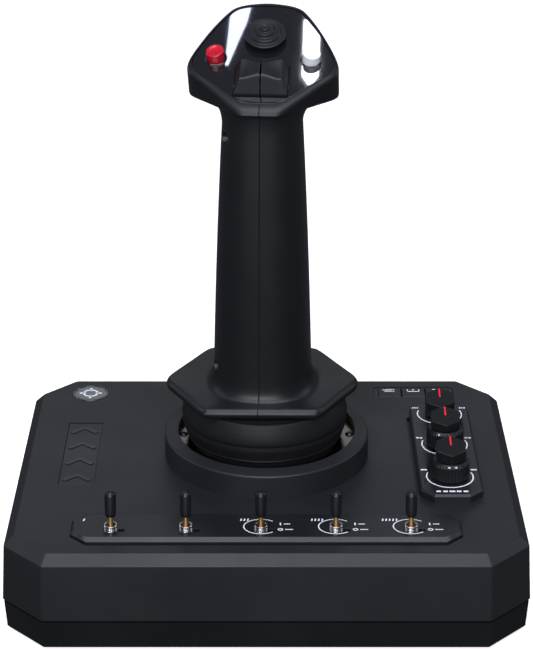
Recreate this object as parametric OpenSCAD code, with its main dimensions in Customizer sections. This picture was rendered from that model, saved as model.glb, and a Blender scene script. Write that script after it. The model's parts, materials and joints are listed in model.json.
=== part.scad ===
// Desktop flight joystick: a weighted desk base with five toggles, three stacked knobs and three keys,
// and a two-half grip on a sprung gimbal that tilts both ways and twists about its own shaft.
// +Z is up, the pilot sits on the -Y side, and the origin is under the middle of the base.

/* [Base housing] */
// Half width of the flat top face
top_hw = 108.5; // [104:0.5:120]
// Half depth of the flat top face
top_hd = 84.8; // [83:0.1:95]
// Length cut off each corner of the flat top face
top_cut = 15; // [12:0.5:18]
// Width and height of the bevel round the top face
bevel = 4.2; // [3:0.1:5]
// Height of the upper housing's wall below its bevel
wall_h = 26.4; // [26:0.1:34]
// Draft of the upper housing's wall, in degrees
draft = 3.2; // [0:0.1:5]
// Height of the lower housing
tray_h = 13.1; // [12:0.1:16]
// Height of the rubber feet below the lower housing
foot_h = 2; // [1.5:0.1:3]
// Thickness of the moulded walls
wall = 2.6; // [2:0.1:2.8]

/* [Turret and boot] */
// Distance of the turret's centre behind the middle of the base
turret_y = 9; // [5:0.5:12]
// Outer radius of the turret collar
collar_r = 46.5; // [45:0.1:48]
// Height of the turret collar above the top face
collar_h = 10.8; // [10:0.1:12]
// Radius of the hole that the rubber boot comes out of
boot_hole_r = 33.6; // [33.5:0.1:34]

/* [Grip] */
// Sideways offset of the stick's axis from the middle of the base
stick_x = -1.7; // [-2:0.1:0]
// Heading of the grip at rest, in degrees
grip_heading = -4.2; // [-6:0.1:0]
// Half width of the hand rest
rest_hw = 43.6; // [42:0.1:45]
// Half depth of the hand rest
rest_hd = 37; // [36:0.1:38]
// Half width of the grip column at its foot
foot_hw = 21.65; // [21:0.05:22]
// Half width of the grip column at its neck
neck_hw = 17.5; // [17:0.05:18]
// Tilt of the head's face towards the pilot, in degrees
face_tilt = 28; // [26:0.5:30]
// Height of the face above the base's top face, on the grip's axis
face_z = 183.2; // [180:0.1:186]

/* [Controls] */
// Travel of the push buttons and keys
press_travel = 1.5; // [1:0.1:1.5]
// Spacing of the five toggles
toggle_pitch = 32.2; // [30:0.1:33]
// Lean of a toggle lever from upright, in degrees
toggle_lean = 12; // [10:0.5:12]
// Width across flats of the hexagonal knob caps
knob_af = 13; // [12:0.1:14]
// Radius of the outer ring knobs
ring_r = 8.75; // [8:0.05:9]

/* [Hidden] */
$fn = 64;
eps = 0.01;

// Heights of the base, from the surface that it stands on
split_z = foot_h + tray_h;
top_z = split_z + wall_h + bevel;
reveal = 0.5;
plate_t = 3;
ceiling_z = top_z - plate_t;
flare = bevel + wall_h * tan(draft);

// Places of the controls on the top face
toggle_x = [for (i = [0:4]) -66.8 + i * toggle_pitch];
toggle_y = -67.4;
strip_hw = 84;
strip_front = -76.3;
strip_back = -50.8;
strip_rise = 2.2;
strip_sink = 1.2;
knob_x = 82;
knob_y = [-23.5, 8.2, 39.8];
pad_hw = 14;
pad_hd = 46.5;
pad_y = 5.5;
pad_h = 4;
pad_top = top_z + pad_h;
key_x = [60.2, 71.8, 83.4];
key_y = 72.5;
key_w = 11.2;
key_d = 8.8;
badge_at = [-85.8, 70.9];
chevron_at = [-85.5, 7.3];
chevron_hw = 8;
chevron_hd = 31.5;
screw_at = [[-100, -50], [100, -50], [-100, 50], [100, 50], [13.7, -70], [0, 70]];
foot_at = [for (x = [-88, 88], y = [-60, 60]) [x, y]];

// Gimbal
pivot_z = top_z - 1.7;
axle_r = 2.5;
bush_r = 4.2;
run = 0.04;
frame_z = pivot_z - 20;
frame_t = 4;
gimbal_screw_r = 46;
hub_top = pivot_z + 13;
shaft_r = 6;
shaft_top = top_z + 135;
boot_plate_z = top_z + 28.5;

// Grip column and head
rest_z = 31;
rest_back = 3.3;
wall_g = 2.6;
sides = 48;
foot_z = 47.5;
neck_z = 160;
under_z = 168;
head_t = 20;
plate_w = -2.2;

// ---------- helpers ----------

function lerp(a, b, k) = a + (b - a) * k;

// An oblong with its four corners cut at 45 degrees
function octagon(hw, hd, cut) = [
    [hw - cut, -hd], [hw, -hd + cut], [hw, hd - cut], [hw - cut, hd],
    [-hw + cut, hd], [-hw, hd - cut], [-hw, -hd + cut], [-hw + cut, -hd]];

// The top face's outline moved out by d
function grown(d) = octagon(top_hw + d, top_hd + d, top_cut + (2 - sqrt(2)) * d);

function lift(outline, z) = [for (p = outline) [p[0], p[1], z]];

// A closed solid through rings that have the same number of points
module skin(rings) {
    n = len(rings[0]);
    m = len(rings);
    points = [for (r = rings, p = r) p];
    bottom = [[for (i = [0:n - 1]) i]];
    top = [[for (i = [n - 1:-1:0]) (m - 1) * n + i]];
    walls = [for (k = [0:m - 2], i = [0:n - 1])
        let (a = k * n + i, b = k * n + (i + 1) % n)
        each [[a, b + n, b], [a, a + n, b + n]]];
    polyhedron(points = points, faces = concat(bottom, top, walls), convexity = 8);
}

module tube(r_out, r_in, h) {
    difference() {
        cylinder(h = h, r = r_out);
        translate([0, 0, -1]) cylinder(h = h + 2, r = r_in);
    }
}

// A coil spring standing on z = 0
module coil(r, wire, turns, h) {
    steps = 12;
    skin([for (i = [0:turns * steps])
        let (a = 360 * i / steps, z = lerp(wire, h - wire, i / (turns * steps)))
        [for (j = [0:5]) let (b = 60 * j + 30, q = r + wire * cos(b))
            [q * cos(a), q * sin(a), z - wire * sin(b)]]]);
}

module at_stick() {
    translate([stick_x, turret_y, 0]) children();
}

// The grip's own frame: origin on its axis at the height of the top face, -Y towards the pilot
module at_grip() {
    translate([stick_x, turret_y, top_z]) rotate([0, 0, grip_heading]) children();
}

// The face's frame: X across, Y up the slope, Z out of the face
module at_face() {
    at_grip() translate([0, 0, face_z]) rotate([face_tilt, 0, 0]) children();
}

// ---------- base housing ----------

module shell_body() {
    difference() {
        skin([lift(grown(flare), split_z + reveal), lift(grown(bevel), top_z - bevel),
            lift(grown(0), top_z)]);
        skin([lift(grown(flare - wall), split_z), lift(grown(bevel - wall), top_z - bevel - 1),
            lift(grown(0.5 - wall), ceiling_z)]);
    }
}

module strip_outline(margin, front) {
    back = strip_back + margin;
    translate([0, (front + back) / 2]) polygon(octagon(strip_hw + margin, (back - front) / 2, 7));
}

module upper_shell() {
    color("#333336") difference() {
        union() {
            shell_body();
            for (p = screw_at) translate([p[0], p[1], split_z + 0.6]) cylinder(h = ceiling_z - split_z, r = 4);
            at_turret_screws() translate([0, 0, frame_z + frame_t + 0.05])
                cylinder(h = ceiling_z - frame_z - frame_t + 1, r = 4.5);
        }
        translate([0, turret_y, ceiling_z - 1]) cylinder(h = plate_t + 2, r = 41);
        translate([0, 0, top_z - strip_sink]) linear_extrude(strip_sink + 1)
            strip_outline(0.15, strip_front - 1.8);
        translate([knob_x - 1.5, pad_y, top_z - 1.2]) linear_extrude(3)
            polygon(octagon(pad_hw, pad_hd - 3, 6));
        translate([badge_at[0], badge_at[1], top_z - 1]) cylinder(h = 2, r = 8.8);
        translate([chevron_at[0], chevron_at[1], top_z - 1.2])
            linear_extrude(2) square([2 * chevron_hw, 2 * chevron_hd], center = true);
        translate([key_x[1], key_y, ceiling_z - 1]) linear_extrude(plate_t + 2) polygon(octagon(19.5, 5.8, 2));
        for (x = toggle_x) translate([x, toggle_y, ceiling_z - 1]) cylinder(h = 6, r = 3.15);
        for (y = knob_y) translate([knob_x, y, ceiling_z - 1]) cylinder(h = 6, r = 3.7);
        for (p = screw_at) translate([p[0], p[1], split_z]) cylinder(h = 18, r = 1.6);
        at_turret_screws() translate([0, 0, frame_z]) cylinder(h = 15, r = 1.6);
    }
}

module at_turret_screws() {
    translate([0, turret_y, 0]) for (a = [45:90:315]) rotate([0, 0, a])
        translate([gimbal_screw_r, 0, 0]) children();
}

module lower_shell() {
    edge = flare - 0.6;
    color("#1b1b1d") difference() {
        union() {
            difference() {
                union() {
                    skin([lift(grown(edge - 0.8), foot_h), lift(grown(edge), split_z - reveal)]);
                    translate([0, 0, split_z - 1]) linear_extrude(1 + reveal - 0.05) polygon(grown(edge - 1.2));
                }
                skin([lift(grown(edge - wall - 1), foot_h + wall), lift(grown(edge - wall), split_z + 2)]);
            }
            for (p = screw_at) translate([p[0], p[1], foot_h + 1]) cylinder(h = tray_h - 1 + reveal, r = 4);
            at_stick() translate([0, 0, foot_h + 1]) cylinder(h = 5.9, r = 8);
        }
        for (p = screw_at) {
            translate([p[0], p[1], 0]) cylinder(h = split_z + 3, r = 1.7);
            translate([p[0], p[1], 0]) cylinder(h = foot_h + 2.6, r = 3.2);
        }
        for (p = foot_at) translate([p[0], p[1], 0]) cylinder(h = foot_h + 0.8, r = 9.1);
        translate([-5.2, 80, 7.9]) cube([10.4, 14, 4.4]);
    }
}

module rubber_feet() {
    color("#151515") for (p = foot_at) translate([p[0], p[1], 0]) cylinder(h = foot_h + 0.75, r = 9);
}

module screw(head_r, head_h, shank_r, length) {
    difference() {
        union() {
            cylinder(h = head_h, r = head_r);
            cylinder(h = length, r = shank_r);
        }
        translate([0, 0, -eps]) cylinder(h = head_h * 0.6, r = head_r * 0.45, $fn = 6);
    }
}

module base_screws() {
    color("#3a3a3c") for (p = screw_at) translate([p[0], p[1], foot_h + 0.5]) screw(3, 2, 1.5, 26);
}

module ballast_plate() {
    color("#7b7d80") translate([0, -44, foot_h + wall + 0.1])
        linear_extrude(4) polygon(octagon(78, 20, 5));
}

module main_circuit_board() {
    color("#1f4a2c") difference() {
        union() {
            translate([-48, 46, 9]) cube([96, 35, 1.6]);
            translate([-30, 54, 10.6]) cube([12, 12, 1.2]);
            translate([18, 52, 10.6]) cube([8, 16, 4]);
            for (x = [-44, 44], y = [50, 62]) translate([x, y, foot_h + wall + 0.05]) cylinder(h = 5, r = 2);
        }
        translate([0, 70, 0]) cylinder(h = 30, r = 5);
    }
}

module usb_socket() {
    color("#b9bcc0") translate([-4.5, 79.4, 8.35]) difference() {
        translate([0, 1.7, 0]) cube([9, 7.6, 3.3]);
        translate([0.4, 4, 0.4]) cube([8.2, 8, 2.5]);
    }
}

// ---------- turret ----------

module turret_collar() {
    seat_r = 35.5;
    color("#2b2b2f") translate([0, turret_y, top_z]) rotate_extrude()
        polygon([[seat_r, 4], [seat_r, 7], [40.3, 7], [40.3, collar_h - 1.8], [collar_r, collar_h],
            [collar_r, 2.6], [collar_r + 0.9, 0.9], [collar_r + 2.6, 0.05], [40.9, 0.05],
            [40.9, -plate_t], [38.9, -plate_t], [38.9, 4]]);
}

module boot_ring() {
    color("#6e695f") translate([0, turret_y, top_z + 7.05]) difference() {
        tube(40.2, boot_hole_r, 1.8);
        for (a = [0:60:300]) rotate([0, 0, a]) translate([38, 0, -1]) cylinder(h = 4, r = 1.05);
    }
}

module ring_screws() {
    color("#8f9093") translate([0, turret_y, top_z]) for (a = [0:60:300])
        rotate([0, 0, a]) translate([38, 0, 9.9]) mirror([0, 0, 1]) screw(1.9, 1, 1, 2.9);
}

module rubber_boot() {
    t = 1.3;
    color("#1d1d20") translate([0, turret_y, top_z]) rotate_extrude()
        polygon([[33.4, 7.2], [33.4, 9.4], [34.2, 11.2], [36.6, 15.2], [37.4, 20.4], [37.2, 23.5],
            [35.4, 30.4], [35.4 - t, 30.4], [37.2 - t, 23.3], [37.4 - t, 20.4], [36.6 - t, 15.6],
            [34.2 - t, 11.6], [33.4 - t, 9.6], [33.4 - t, 7.2]]);
}

// ---------- gimbal ----------

module gimbal_frame() {
    cheek_x = 28;
    cheek_z = frame_z + frame_t - 1;
    color("#4a4a4d") difference() {
        union() {
            translate([0, turret_y, frame_z]) tube(gimbal_screw_r + 5, 23, frame_t);
            for (s = [-1, 1]) translate([stick_x + s * (cheek_x + 2) - 2, turret_y - 12, cheek_z])
                cube([4, 24, pivot_z + 5.4 - cheek_z]);
        }
        at_turret_screws() translate([0, 0, frame_z - 1]) cylinder(h = frame_t + 2, r = 1.7);
        at_stick() translate([0, 0, pivot_z]) rotate([0, 90, 0])
            translate([0, 0, -40]) cylinder(h = 80, r = bush_r + 0.02);
    }
}

module gimbal_screws() {
    color("#3a3a3c") at_turret_screws() translate([0, 0, frame_z - 2.05]) screw(3, 2, 1.5, 14);
}

module bushes(near, far) {
    for (s = [0, 180]) rotate([0, 0, s]) rotate([0, 90, 0]) translate([0, 0, near])
        tube(bush_r, axle_r + run, far - near);
}

module pitch_bearings() {
    color("#b08d57") at_stick() translate([0, 0, pivot_z]) bushes(28, 32);
}

module centring_spring() {
    color("#9a9c9f") at_stick() translate([0, 0, foot_h + 7]) coil(6, 0.8, 6, pivot_z - 15 - foot_h - 7.1);
}

module gimbal_yoke() {
    color("#55565a") at_stick() translate([0, 0, pivot_z]) difference() {
        translate([-25, -21, -5]) cube([50, 42, 10]);
        translate([-17, -13, -6]) cube([34, 26, 12]);
        rotate([0, 90, 0]) translate([0, 0, -30]) cylinder(h = 60, r = axle_r + 0.02);
        rotate([90, 0, 0]) translate([0, 0, -30]) cylinder(h = 60, r = bush_r + 0.02);
    }
}

module pitch_axles() {
    color("#a7a9ac") at_stick() translate([0, 0, pivot_z]) for (s = [0, 180])
        rotate([0, 0, s]) rotate([0, 90, 0]) translate([0, 0, 17.3]) cylinder(h = 16, r = axle_r);
}

module roll_bearings() {
    color("#b08d57") at_stick() translate([0, 0, pivot_z]) rotate([0, 0, 90]) bushes(13, 21);
}

module stick_hub() {
    arm = 15;
    color("#3d3e42") at_stick() translate([0, 0, pivot_z]) difference() {
        union() {
            translate([-9, -11.5, -9]) cube([18, 23, 18]);
            cylinder(h = hub_top - pivot_z, r = 9);
            translate([0, 0, -arm + 1]) cylinder(h = arm, r = 4.5);
            translate([0, 0, -arm]) cylinder(h = 2, r = 7);
        }
        rotate([90, 0, 0]) translate([0, 0, -20]) cylinder(h = 40, r = axle_r + 0.02);
        translate([0, 0, 3.6]) cylinder(h = 20, r = shaft_r + 0.02);
    }
}

module roll_axle() {
    color("#a7a9ac") at_stick() translate([0, 0, pivot_z]) rotate([90, 0, 0])
        translate([0, 0, -22]) cylinder(h = 44, r = axle_r);
}

module stick_shaft() {
    color("#c3c5c8") at_stick() translate([0, 0, pivot_z + 3.7]) tube(shaft_r, 4, shaft_top - pivot_z - 3.7);
}

module boot_plate() {
    color("#2a2a2c") at_stick() translate([0, 0, boot_plate_z]) tube(32, shaft_r + 0.02, 2);
}

module twist_spring() {
    color("#9a9c9f") at_stick() translate([0, 0, top_z + 31.8]) coil(7.2, 0.7, 6, 17);
}

// ---------- grip ----------

// Distance from the centre to the outline at angle a; edges are [heading, distance] and sharp is how
// crisp the corners are
function soft(a, edges, sharp) =
    pow([for (e = edges) pow(max(0, cos(a - e[0])) / e[1], sharp)] * [for (e = edges) 1], -1 / sharp);

// The hand rest seen from above: a wide hexagon with softened corners
rest_edges = [[-90, rest_hd], [90, rest_hd], [-31, 0.872 * rest_hw], [31, 0.872 * rest_hw],
    [149, 0.872 * rest_hw], [211, 0.872 * rest_hw]];
// The head's face: a narrow front, two wide flanks and a flat back
face_edges = [[-90, 26.2], [90, 41], [-40.6, 26.4], [220.6, 26.4], [26.8, 30.9], [153.2, 30.9]];
plate_edges = [[-90, 20.6], [90, 38.2], [-46.5, 21.2], [226.5, 21.2], [27.6, 29.1], [152.4, 29.1]];

function outline(edges, sharp, inset) = [for (i = [0:sides - 1])
    let (a = 360 * i / sides, r = soft(a, edges, sharp) - inset) [r * cos(a), r * sin(a)]];

function oval(a, b) = [for (i = [0:sides - 1])
    let (t = 360 * i / sides, r = pow(pow(abs(cos(t)) / a, 2.4) + pow(abs(sin(t)) / b, 2.4), -1 / 2.4))
    [r * cos(t), r * sin(t)]];

function column_hw(z) = let (k = (z - foot_z) / (neck_z - foot_z))
    lerp(foot_hw + 0.25, neck_hw, k) + 1.6 * k * (1 - k);
function column(z, inset) = lift(oval(column_hw(z) - inset, 1.04 * column_hw(z) - inset), z);

function rest_ring(inset, z) = [for (p = outline(rest_edges, 22, inset)) [p[0], p[1] + rest_back, z]];
function rest_to_column(k, z) = let (a = rest_ring(2.2, 0), b = column(foot_z, 0))
    [for (i = [0:sides - 1]) [lerp(a[i][0], b[i][0], k), lerp(a[i][1], b[i][1], k), z]];

// A point of the face's frame, given in the grip's frame
function on_face(u, v, w) = [u, v * cos(face_tilt) - w * sin(face_tilt),
    face_z + v * sin(face_tilt) + w * cos(face_tilt)];
// Depth of the head under the face: it ends level, except at the back, where it has its own thickness
function depth(v) = max((under_z - face_z - v * sin(face_tilt)) / cos(face_tilt), -head_t);
function face_ring(pts, w) = [for (p = pts) on_face(p[0], p[1], w)];
function belly_ring(pts, up) = [for (p = pts) on_face(p[0], p[1], min(depth(p[1]) + up, -3.2))];
function mix(a, b, k) = [for (i = [0:len(a) - 1]) lerp(a[i], b[i], k)];

module grip_solid() {
    shield = outline(face_edges, 26, 0);
    neck = column(neck_z + 3, 0);
    belly = belly_ring(outline(face_edges, 26, 1.4), 0);
    skin(concat(
        [for (p = [[1, 0], [0, 1], [0, 2.2], [2.2, 3.6]]) rest_ring(p[0], rest_z + p[1])],
        [for (p = [[0.45, 36], [0.72, 37.8], [0.87, 40.4], [0.96, 43.6]]) rest_to_column(p[0], p[1])],
        [for (z = [foot_z, 54, 80, 106, 132, neck_z - 4]) column(z, 0)],
        [neck, [for (p = mix(neck, belly, 0.12)) [p[0], p[1], max(p[2], under_z - 2.6)]]],
        [mix(neck, belly, 0.4)],
        [belly, belly_ring(shield, 1.4), face_ring(shield, -2.6),
            face_ring(outline(face_edges, 26, 1.1), -0.8), face_ring(outline(plate_edges, 26, -0.5), 0)]));
}

// The room inside: a bore up the column, the head's hollow and the stepped seat of the faceplate
module grip_cavity() {
    bore_top = under_z + 5;
    skin(concat(
        [for (z = [rest_z - 1, foot_z]) lift(oval(foot_hw - 3.4, foot_hw - 3.4), z)],
        [for (z = [54, 80, 106, 132, neck_z - 4]) column(z, wall_g)],
        [lift(oval(neck_hw - 3.2, neck_hw - 3.2), bore_top)]));
    intersection() {
        at_face_local() translate([0, 0, wall_g - head_t]) linear_extrude(head_t - wall_g - 4)
            polygon(outline(face_edges, 26, 3.4));
        translate([-60, -60, under_z + wall_g]) cube([120, 160, 60]);
    }
    at_face_local() translate([0, 0, -4.95]) linear_extrude(8) polygon(outline(plate_edges, 26, 1.5));
    at_face_local() translate([0, 0, plate_w - 0.05]) linear_extrude(8)
        polygon(outline(plate_edges, 26, -0.12));
}

module at_face_local() {
    translate([0, 0, face_z]) rotate([face_tilt, 0, 0]) children();
}

// The four screws that draw the halves together: [distance behind the axis, height]
grip_screw_at = [[-10.7, 155.5], [10.7, 155.5], [-10.7, 48], [10.7, 48]];
head_seat = 8;

module at_grip_screws() {
    for (p = grip_screw_at) translate([0, p[0], p[1]]) rotate([0, 90, 0]) children();
}

module grip_half(side) {
    difference() {
        intersection() {
            grip_solid();
            translate([side > 0 ? 0.08 : -100.08, -100, 0]) cube([100, 200, 250]);
        }
        difference() {
            grip_cavity();
            at_grip_screws() {
                translate([0, 0, -30]) cylinder(h = 60, r = 2.4);
                for (z = [head_seat - 1, -30]) translate([0, 0, z]) cylinder(h = 31 - head_seat, r = 3.8);
            }
        }
        at_grip_screws() {
            translate([0, 0, -30]) cylinder(h = 30 + head_seat, r = side > 0 ? 1.25 : 1.45);
            translate([0, 0, -30]) cylinder(h = 30 - head_seat, r = 2.6);
        }
    }
}

module grip_left() {
    color("#232326") at_grip() grip_half(-1);
}

module grip_right() {
    color("#232326") at_grip() grip_half(1);
}

module grip_screws() {
    color("#3a3a3c") at_grip() at_grip_screws() translate([0, 0, -head_seat - 1.85]) screw(2.3, 1.8, 1.2, 15.6);
}

module twist_spindle() {
    bottom = 49.5;
    color("#38393c") at_grip() difference() {
        union() {
            translate([0, 0, bottom]) cylinder(h = 79, r = 7.8);
            for (z = [54, 88, 122]) translate([0, 0, z]) cylinder(h = 3, r = column_hw(z) - wall_g - 0.5);
        }
        translate([0, 0, bottom - 1]) cylinder(h = 90, r = shaft_r + run);
    }
}

// ---------- head ----------

button_u = 20.5;
button_v = 6.4;
button_r = 3.85;
hat_v = 18.7;
hat_pivot = -4.6;
hat_reach = 9.15;
rocker_v = -7;
rocker_pivot = -3.9;
rocker_rise = 7;
board_w = -9.4;
board_t = 1.2;

module head_faceplate() {
    color("#0c0c0e") at_face() difference() {
        union() {
            translate([0, 0, plate_w]) linear_extrude(-plate_w - 0.3) polygon(outline(plate_edges, 26, 0));
            for (s = [-1, 1]) translate([s * 13.4 - 1, rocker_v - 2.4, rocker_pivot - 2])
                cube([2, 4.8, -rocker_pivot]);
        }
        for (s = [-1, 1]) translate([s * button_u, button_v, -8]) cylinder(h = 12, r = button_r + 0.3);
        translate([0, hat_v, -8]) cylinder(h = 12, r = 4.6);
        translate([-12.2, -16.7, -8]) cube([24.4, 19.4, 12]);
        translate([-20, rocker_v, rocker_pivot]) rotate([0, 90, 0]) cylinder(h = 40, r = 1.02);
    }
}

module button_rings() {
    color("#9b9ea3") at_face() for (s = [-1, 1]) translate([s * button_u, button_v, -0.29])
        tube(button_r + 0.95, button_r + 0.35, 0.5);
}

module button(side) {
    at_face() translate([side * button_u, button_v, 0]) {
        translate([0, 0, -3.2]) cylinder(h = 7.4, r = button_r);
        translate([0, 0, -4]) cylinder(h = 1.2, r = button_r + 1);
    }
}

module red_button() {
    color("#d3142c") button(-1);
}

module white_button() {
    color("#eeeef2") button(1);
}

module hat_cap() {
    tiers = [[hat_reach, 2.3, 3.5], [6.4, 3.4, 4.7], [3.9, 4.6, 5.9], [1.9, 5.8, 7]];
    color("#2a2b30") at_face() translate([0, hat_v, 0]) {
        for (t = tiers) translate([0, 0, t[1]]) cylinder(h = t[2] - t[1], r = t[0]);
        translate([0, 0, hat_pivot - 1.2]) cylinder(h = 8.5, r = 2.4);
        translate([0, 0, hat_pivot]) rotate([90, 0, 0]) translate([0, 0, -5.2]) cylinder(h = 10.4, r = 0.5);
    }
}

module hat_ring() {
    color("#6d6f73") at_face() translate([0, hat_v, hat_pivot]) {
        difference() {
            translate([0, 0, -0.9]) tube(5.6, 3.7, 1.8);
            rotate([90, 0, 0]) translate([0, 0, -8]) cylinder(h = 16, r = 0.54);
        }
        for (s = [0, 180]) rotate([0, 0, s]) rotate([0, 90, 0]) translate([0, 0, 5]) cylinder(h = 2.6, r = 0.5);
    }
}

module hat_base() {
    color("#19191b") at_face() translate([0, hat_v, 0]) difference() {
        translate([0, 0, board_w + board_t + 0.05]) cylinder(h = -2.3 - board_w - board_t, r = 8);
        translate([0, 0, board_w + board_t + 1]) cylinder(h = 12, r = 6.4);
        translate([0, 0, hat_pivot]) rotate([0, 90, 0]) translate([0, 0, -10]) cylinder(h = 20, r = 0.54);
    }
}

// One trim rocker's outline at foot (k = 0) or crown (k = 1): its crown is scalloped towards the middle
function rocker_row(k, edge) = [for (i = [0:6])
    let (s = i / 6, dip = (1 - cos(180 * s)) / 2, bow = 0.2 * sin(180 * s))
    [lerp(lerp(11.5, 8.9, k), 0.3, s), edge > 0
        ? lerp(2 + bow, lerp(-0.6, -3.3, dip), k)
        : lerp(-15.8 - bow, lerp(-11.9, -8.5, dip), k)]];
function rocker_outline(k) = let (front = rocker_row(k, -1), back = rocker_row(k, 1))
    concat([for (i = [6:-1:0]) front[i]], back);

module rocker(side) {
    at_face() mirror([side > 0 ? 0 : 1, 0, 0]) difference() {
        union() {
            skin([lift(rocker_outline(0), -2.1), lift(rocker_outline(0), 0.2),
                lift(rocker_outline(1), rocker_rise)]);
            translate([0.3, rocker_v - 4, rocker_pivot - 2]) cube([10.6, 8, 4]);
        }
        translate([-1, rocker_v, rocker_pivot]) rotate([0, 90, 0]) cylinder(h = 20, r = 1 + run);
    }
}

module rocker_left() {
    color("#2a2b30") rocker(-1);
}

module rocker_right() {
    color("#2a2b30") rocker(1);
}

module rocker_pin() {
    color("#a7a9ac") at_face() translate([0, rocker_v, rocker_pivot]) rotate([0, 90, 0])
        translate([0, 0, -14.2]) cylinder(h = 28.4, r = 1);
}

module grip_circuit_board() {
    front = -8.3;
    top_w = board_w + board_t;
    color("#1f4a2c") at_face() {
        translate([0, 0, board_w]) linear_extrude(board_t) intersection() {
            polygon(outline(plate_edges, 26, 4.2));
            translate([-30, front]) square([60, 60]);
        }
        for (p = [[-15, 22], [15, 22], [0, 31]]) translate([p[0], p[1], top_w - 0.1])
            cylinder(h = -2.2 - top_w, r = 1.5);
        for (s = [-1, 1]) translate([s * button_u, button_v, top_w - 0.1])
            cylinder(h = -4.3 - press_travel + 0.1 - top_w, r = 2);
        for (s = [-1, 1]) translate([s * 5.6 - 1.5, front + 0.2, top_w - 0.1]) cube([3, 4.4, 1.3]);
    }
}

// ---------- toggles ----------

function strip_top(y) = top_z + 0.15 + (strip_rise - 0.15) * (strip_back - y) / (strip_back - strip_front);
lever_pivot = strip_top(toggle_y) + 0.3;
bushing_top = lever_pivot + 3.5;

module toggle_panel() {
    front = strip_front;
    middle = (strip_back + front) / 2;
    function ring(inset, z, slope) = [
        for (p = octagon(strip_hw - inset, (strip_back - front) / 2 - inset, 7))
            [p[0], p[1] + middle, slope ? strip_top(p[1] + middle) + z : z]];
    color("#38383b") difference() {
        skin([ring(0, top_z - strip_sink + 0.05, false), ring(0, -0.9 * 0.15, true), ring(0.5, 0, true)]);
        for (x = toggle_x) translate([x, toggle_y, top_z - 5]) cylinder(h = 12, r = 3.15);
        for (x = toggle_x) translate([x + 4.4, toggle_y - 1.2, top_z - 5]) cylinder(h = 12, r = 0.9);
    }
}

module toggle_bushings() {
    color("#c9cbce") for (x = toggle_x) translate([x, toggle_y, 0]) difference() {
        translate([0, 0, ceiling_z + 0.02]) cylinder(h = bushing_top - ceiling_z - 0.02, r = 3);
        translate([0, 0, lever_pivot - 2.6]) cylinder(h = 12, r = 2.25);
    }
}

module toggle_switches() {
    color("#24452f") for (x = toggle_x) translate([x, toggle_y, 0]) {
        translate([-4, -6.5, ceiling_z - 9]) cube([8, 13, 9 - 0.02]);
        for (y = [-4.5, 0, 4.5]) translate([-1, y - 0.4, ceiling_z - 13]) cube([2, 0.8, 4.2]);
    }
}

module toggle_lever(i) {
    grip_r = 2.45;
    color("#19191b") translate([toggle_x[i], toggle_y, lever_pivot]) rotate([-toggle_lean, 0, 0]) {
        sphere(r = 2.1, $fn = 32);
        rotate([0, 90, 0]) translate([0, 0, -2.1]) cylinder(h = 4.2, r = 0.6);
        cylinder(h = 8, r = 1.2);
        translate([0, 0, 5.7]) cylinder(h = 8.8, r = grip_r);
        translate([0, 0, 14.5]) sphere(r = grip_r, $fn = 32);
    }
}

module toggle_lever_1() { toggle_lever(0); }
module toggle_lever_2() { toggle_lever(1); }
module toggle_lever_3() { toggle_lever(2); }
module toggle_lever_4() { toggle_lever(3); }
module toggle_lever_5() { toggle_lever(4); }

// ---------- knobs ----------

knob_gap = 0.4;
outer_ring_h = 7.6;
cap_low = pad_top + knob_gap + outer_ring_h + 0.3;
cap_top = pad_top + 14.5;
encoder_z = ceiling_z - 8;
inner_shaft_r = 2;
sleeve_r = 2.9;

module knob_panel() {
    color("#36363a") difference() {
        translate([knob_x, pad_y, 0]) skin([lift(octagon(pad_hw, pad_hd, 6), top_z + 0.02),
            lift(octagon(pad_hw, pad_hd, 6), pad_top - 0.8),
            lift(octagon(pad_hw - 0.8, pad_hd - 0.8, 5.6), pad_top)]);
        for (y = knob_y) translate([knob_x, y, top_z - 1]) cylinder(h = 8, r = 3.7);
    }
}

module encoder_board() {
    color("#1f4a2c") {
        translate([knob_x - 10, pad_y - 42, encoder_z - 1.5]) cube([20, 84, 1.6]);
        for (i = [0:2]) translate([knob_x, knob_y[i], encoder_z]) difference() {
            union() {
                translate([-6, -6, 0]) cube([12, 12, ceiling_z - encoder_z - 0.02]);
                cylinder(h = pad_top - encoder_z - 0.2, r = 3.6);
            }
            translate([0, 0, 4]) cylinder(h = 20, r = (i < 2 ? sleeve_r : inner_shaft_r) + run);
        }
    }
}

module hex_cap(i, low, high, af) {
    translate([knob_x, knob_y[i], 0]) {
        translate([0, 0, low]) rotate([0, 0, 30]) cylinder(h = high - low, r = af / sqrt(3), $fn = 6);
        translate([0, 0, encoder_z + 4.4]) cylinder(h = high - encoder_z - 6, r = inner_shaft_r);
    }
}

module knob_1() {
    color("#1d1d20") hex_cap(0, cap_low, cap_top, knob_af);
}

module knob_2() {
    color("#1d1d20") hex_cap(1, cap_low, cap_top, knob_af);
}

module knob_3() {
    color("#1d1d20") hex_cap(2, pad_top + knob_gap, pad_top + 8.1, knob_af + 0.4);
}

module outer_ring(i) {
    color("#1d1d20") translate([knob_x, knob_y[i], 0]) difference() {
        union() {
            translate([0, 0, pad_top + knob_gap]) cylinder(h = outer_ring_h, r = ring_r);
            translate([0, 0, encoder_z + 4.4]) cylinder(h = pad_top - encoder_z - 2, r = sleeve_r);
        }
        translate([0, 0, encoder_z]) cylinder(h = 40, r = inner_shaft_r + run);
    }
}

module outer_ring_1() { outer_ring(0); }
module outer_ring_2() { outer_ring(1); }

// ---------- keys, badge and insert ----------

module key_bezel() {
    color("#101012") translate([key_x[1], key_y, ceiling_z + 0.05]) difference() {
        linear_extrude(plate_t - 0.35) polygon(octagon(19.35, 5.65, 2));
        translate([-1.5 * key_w - 0.6, -key_d / 2 - 0.15, -1]) cube([3 * key_w + 1.2, key_d + 0.3, 9]);
    }
}

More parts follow.
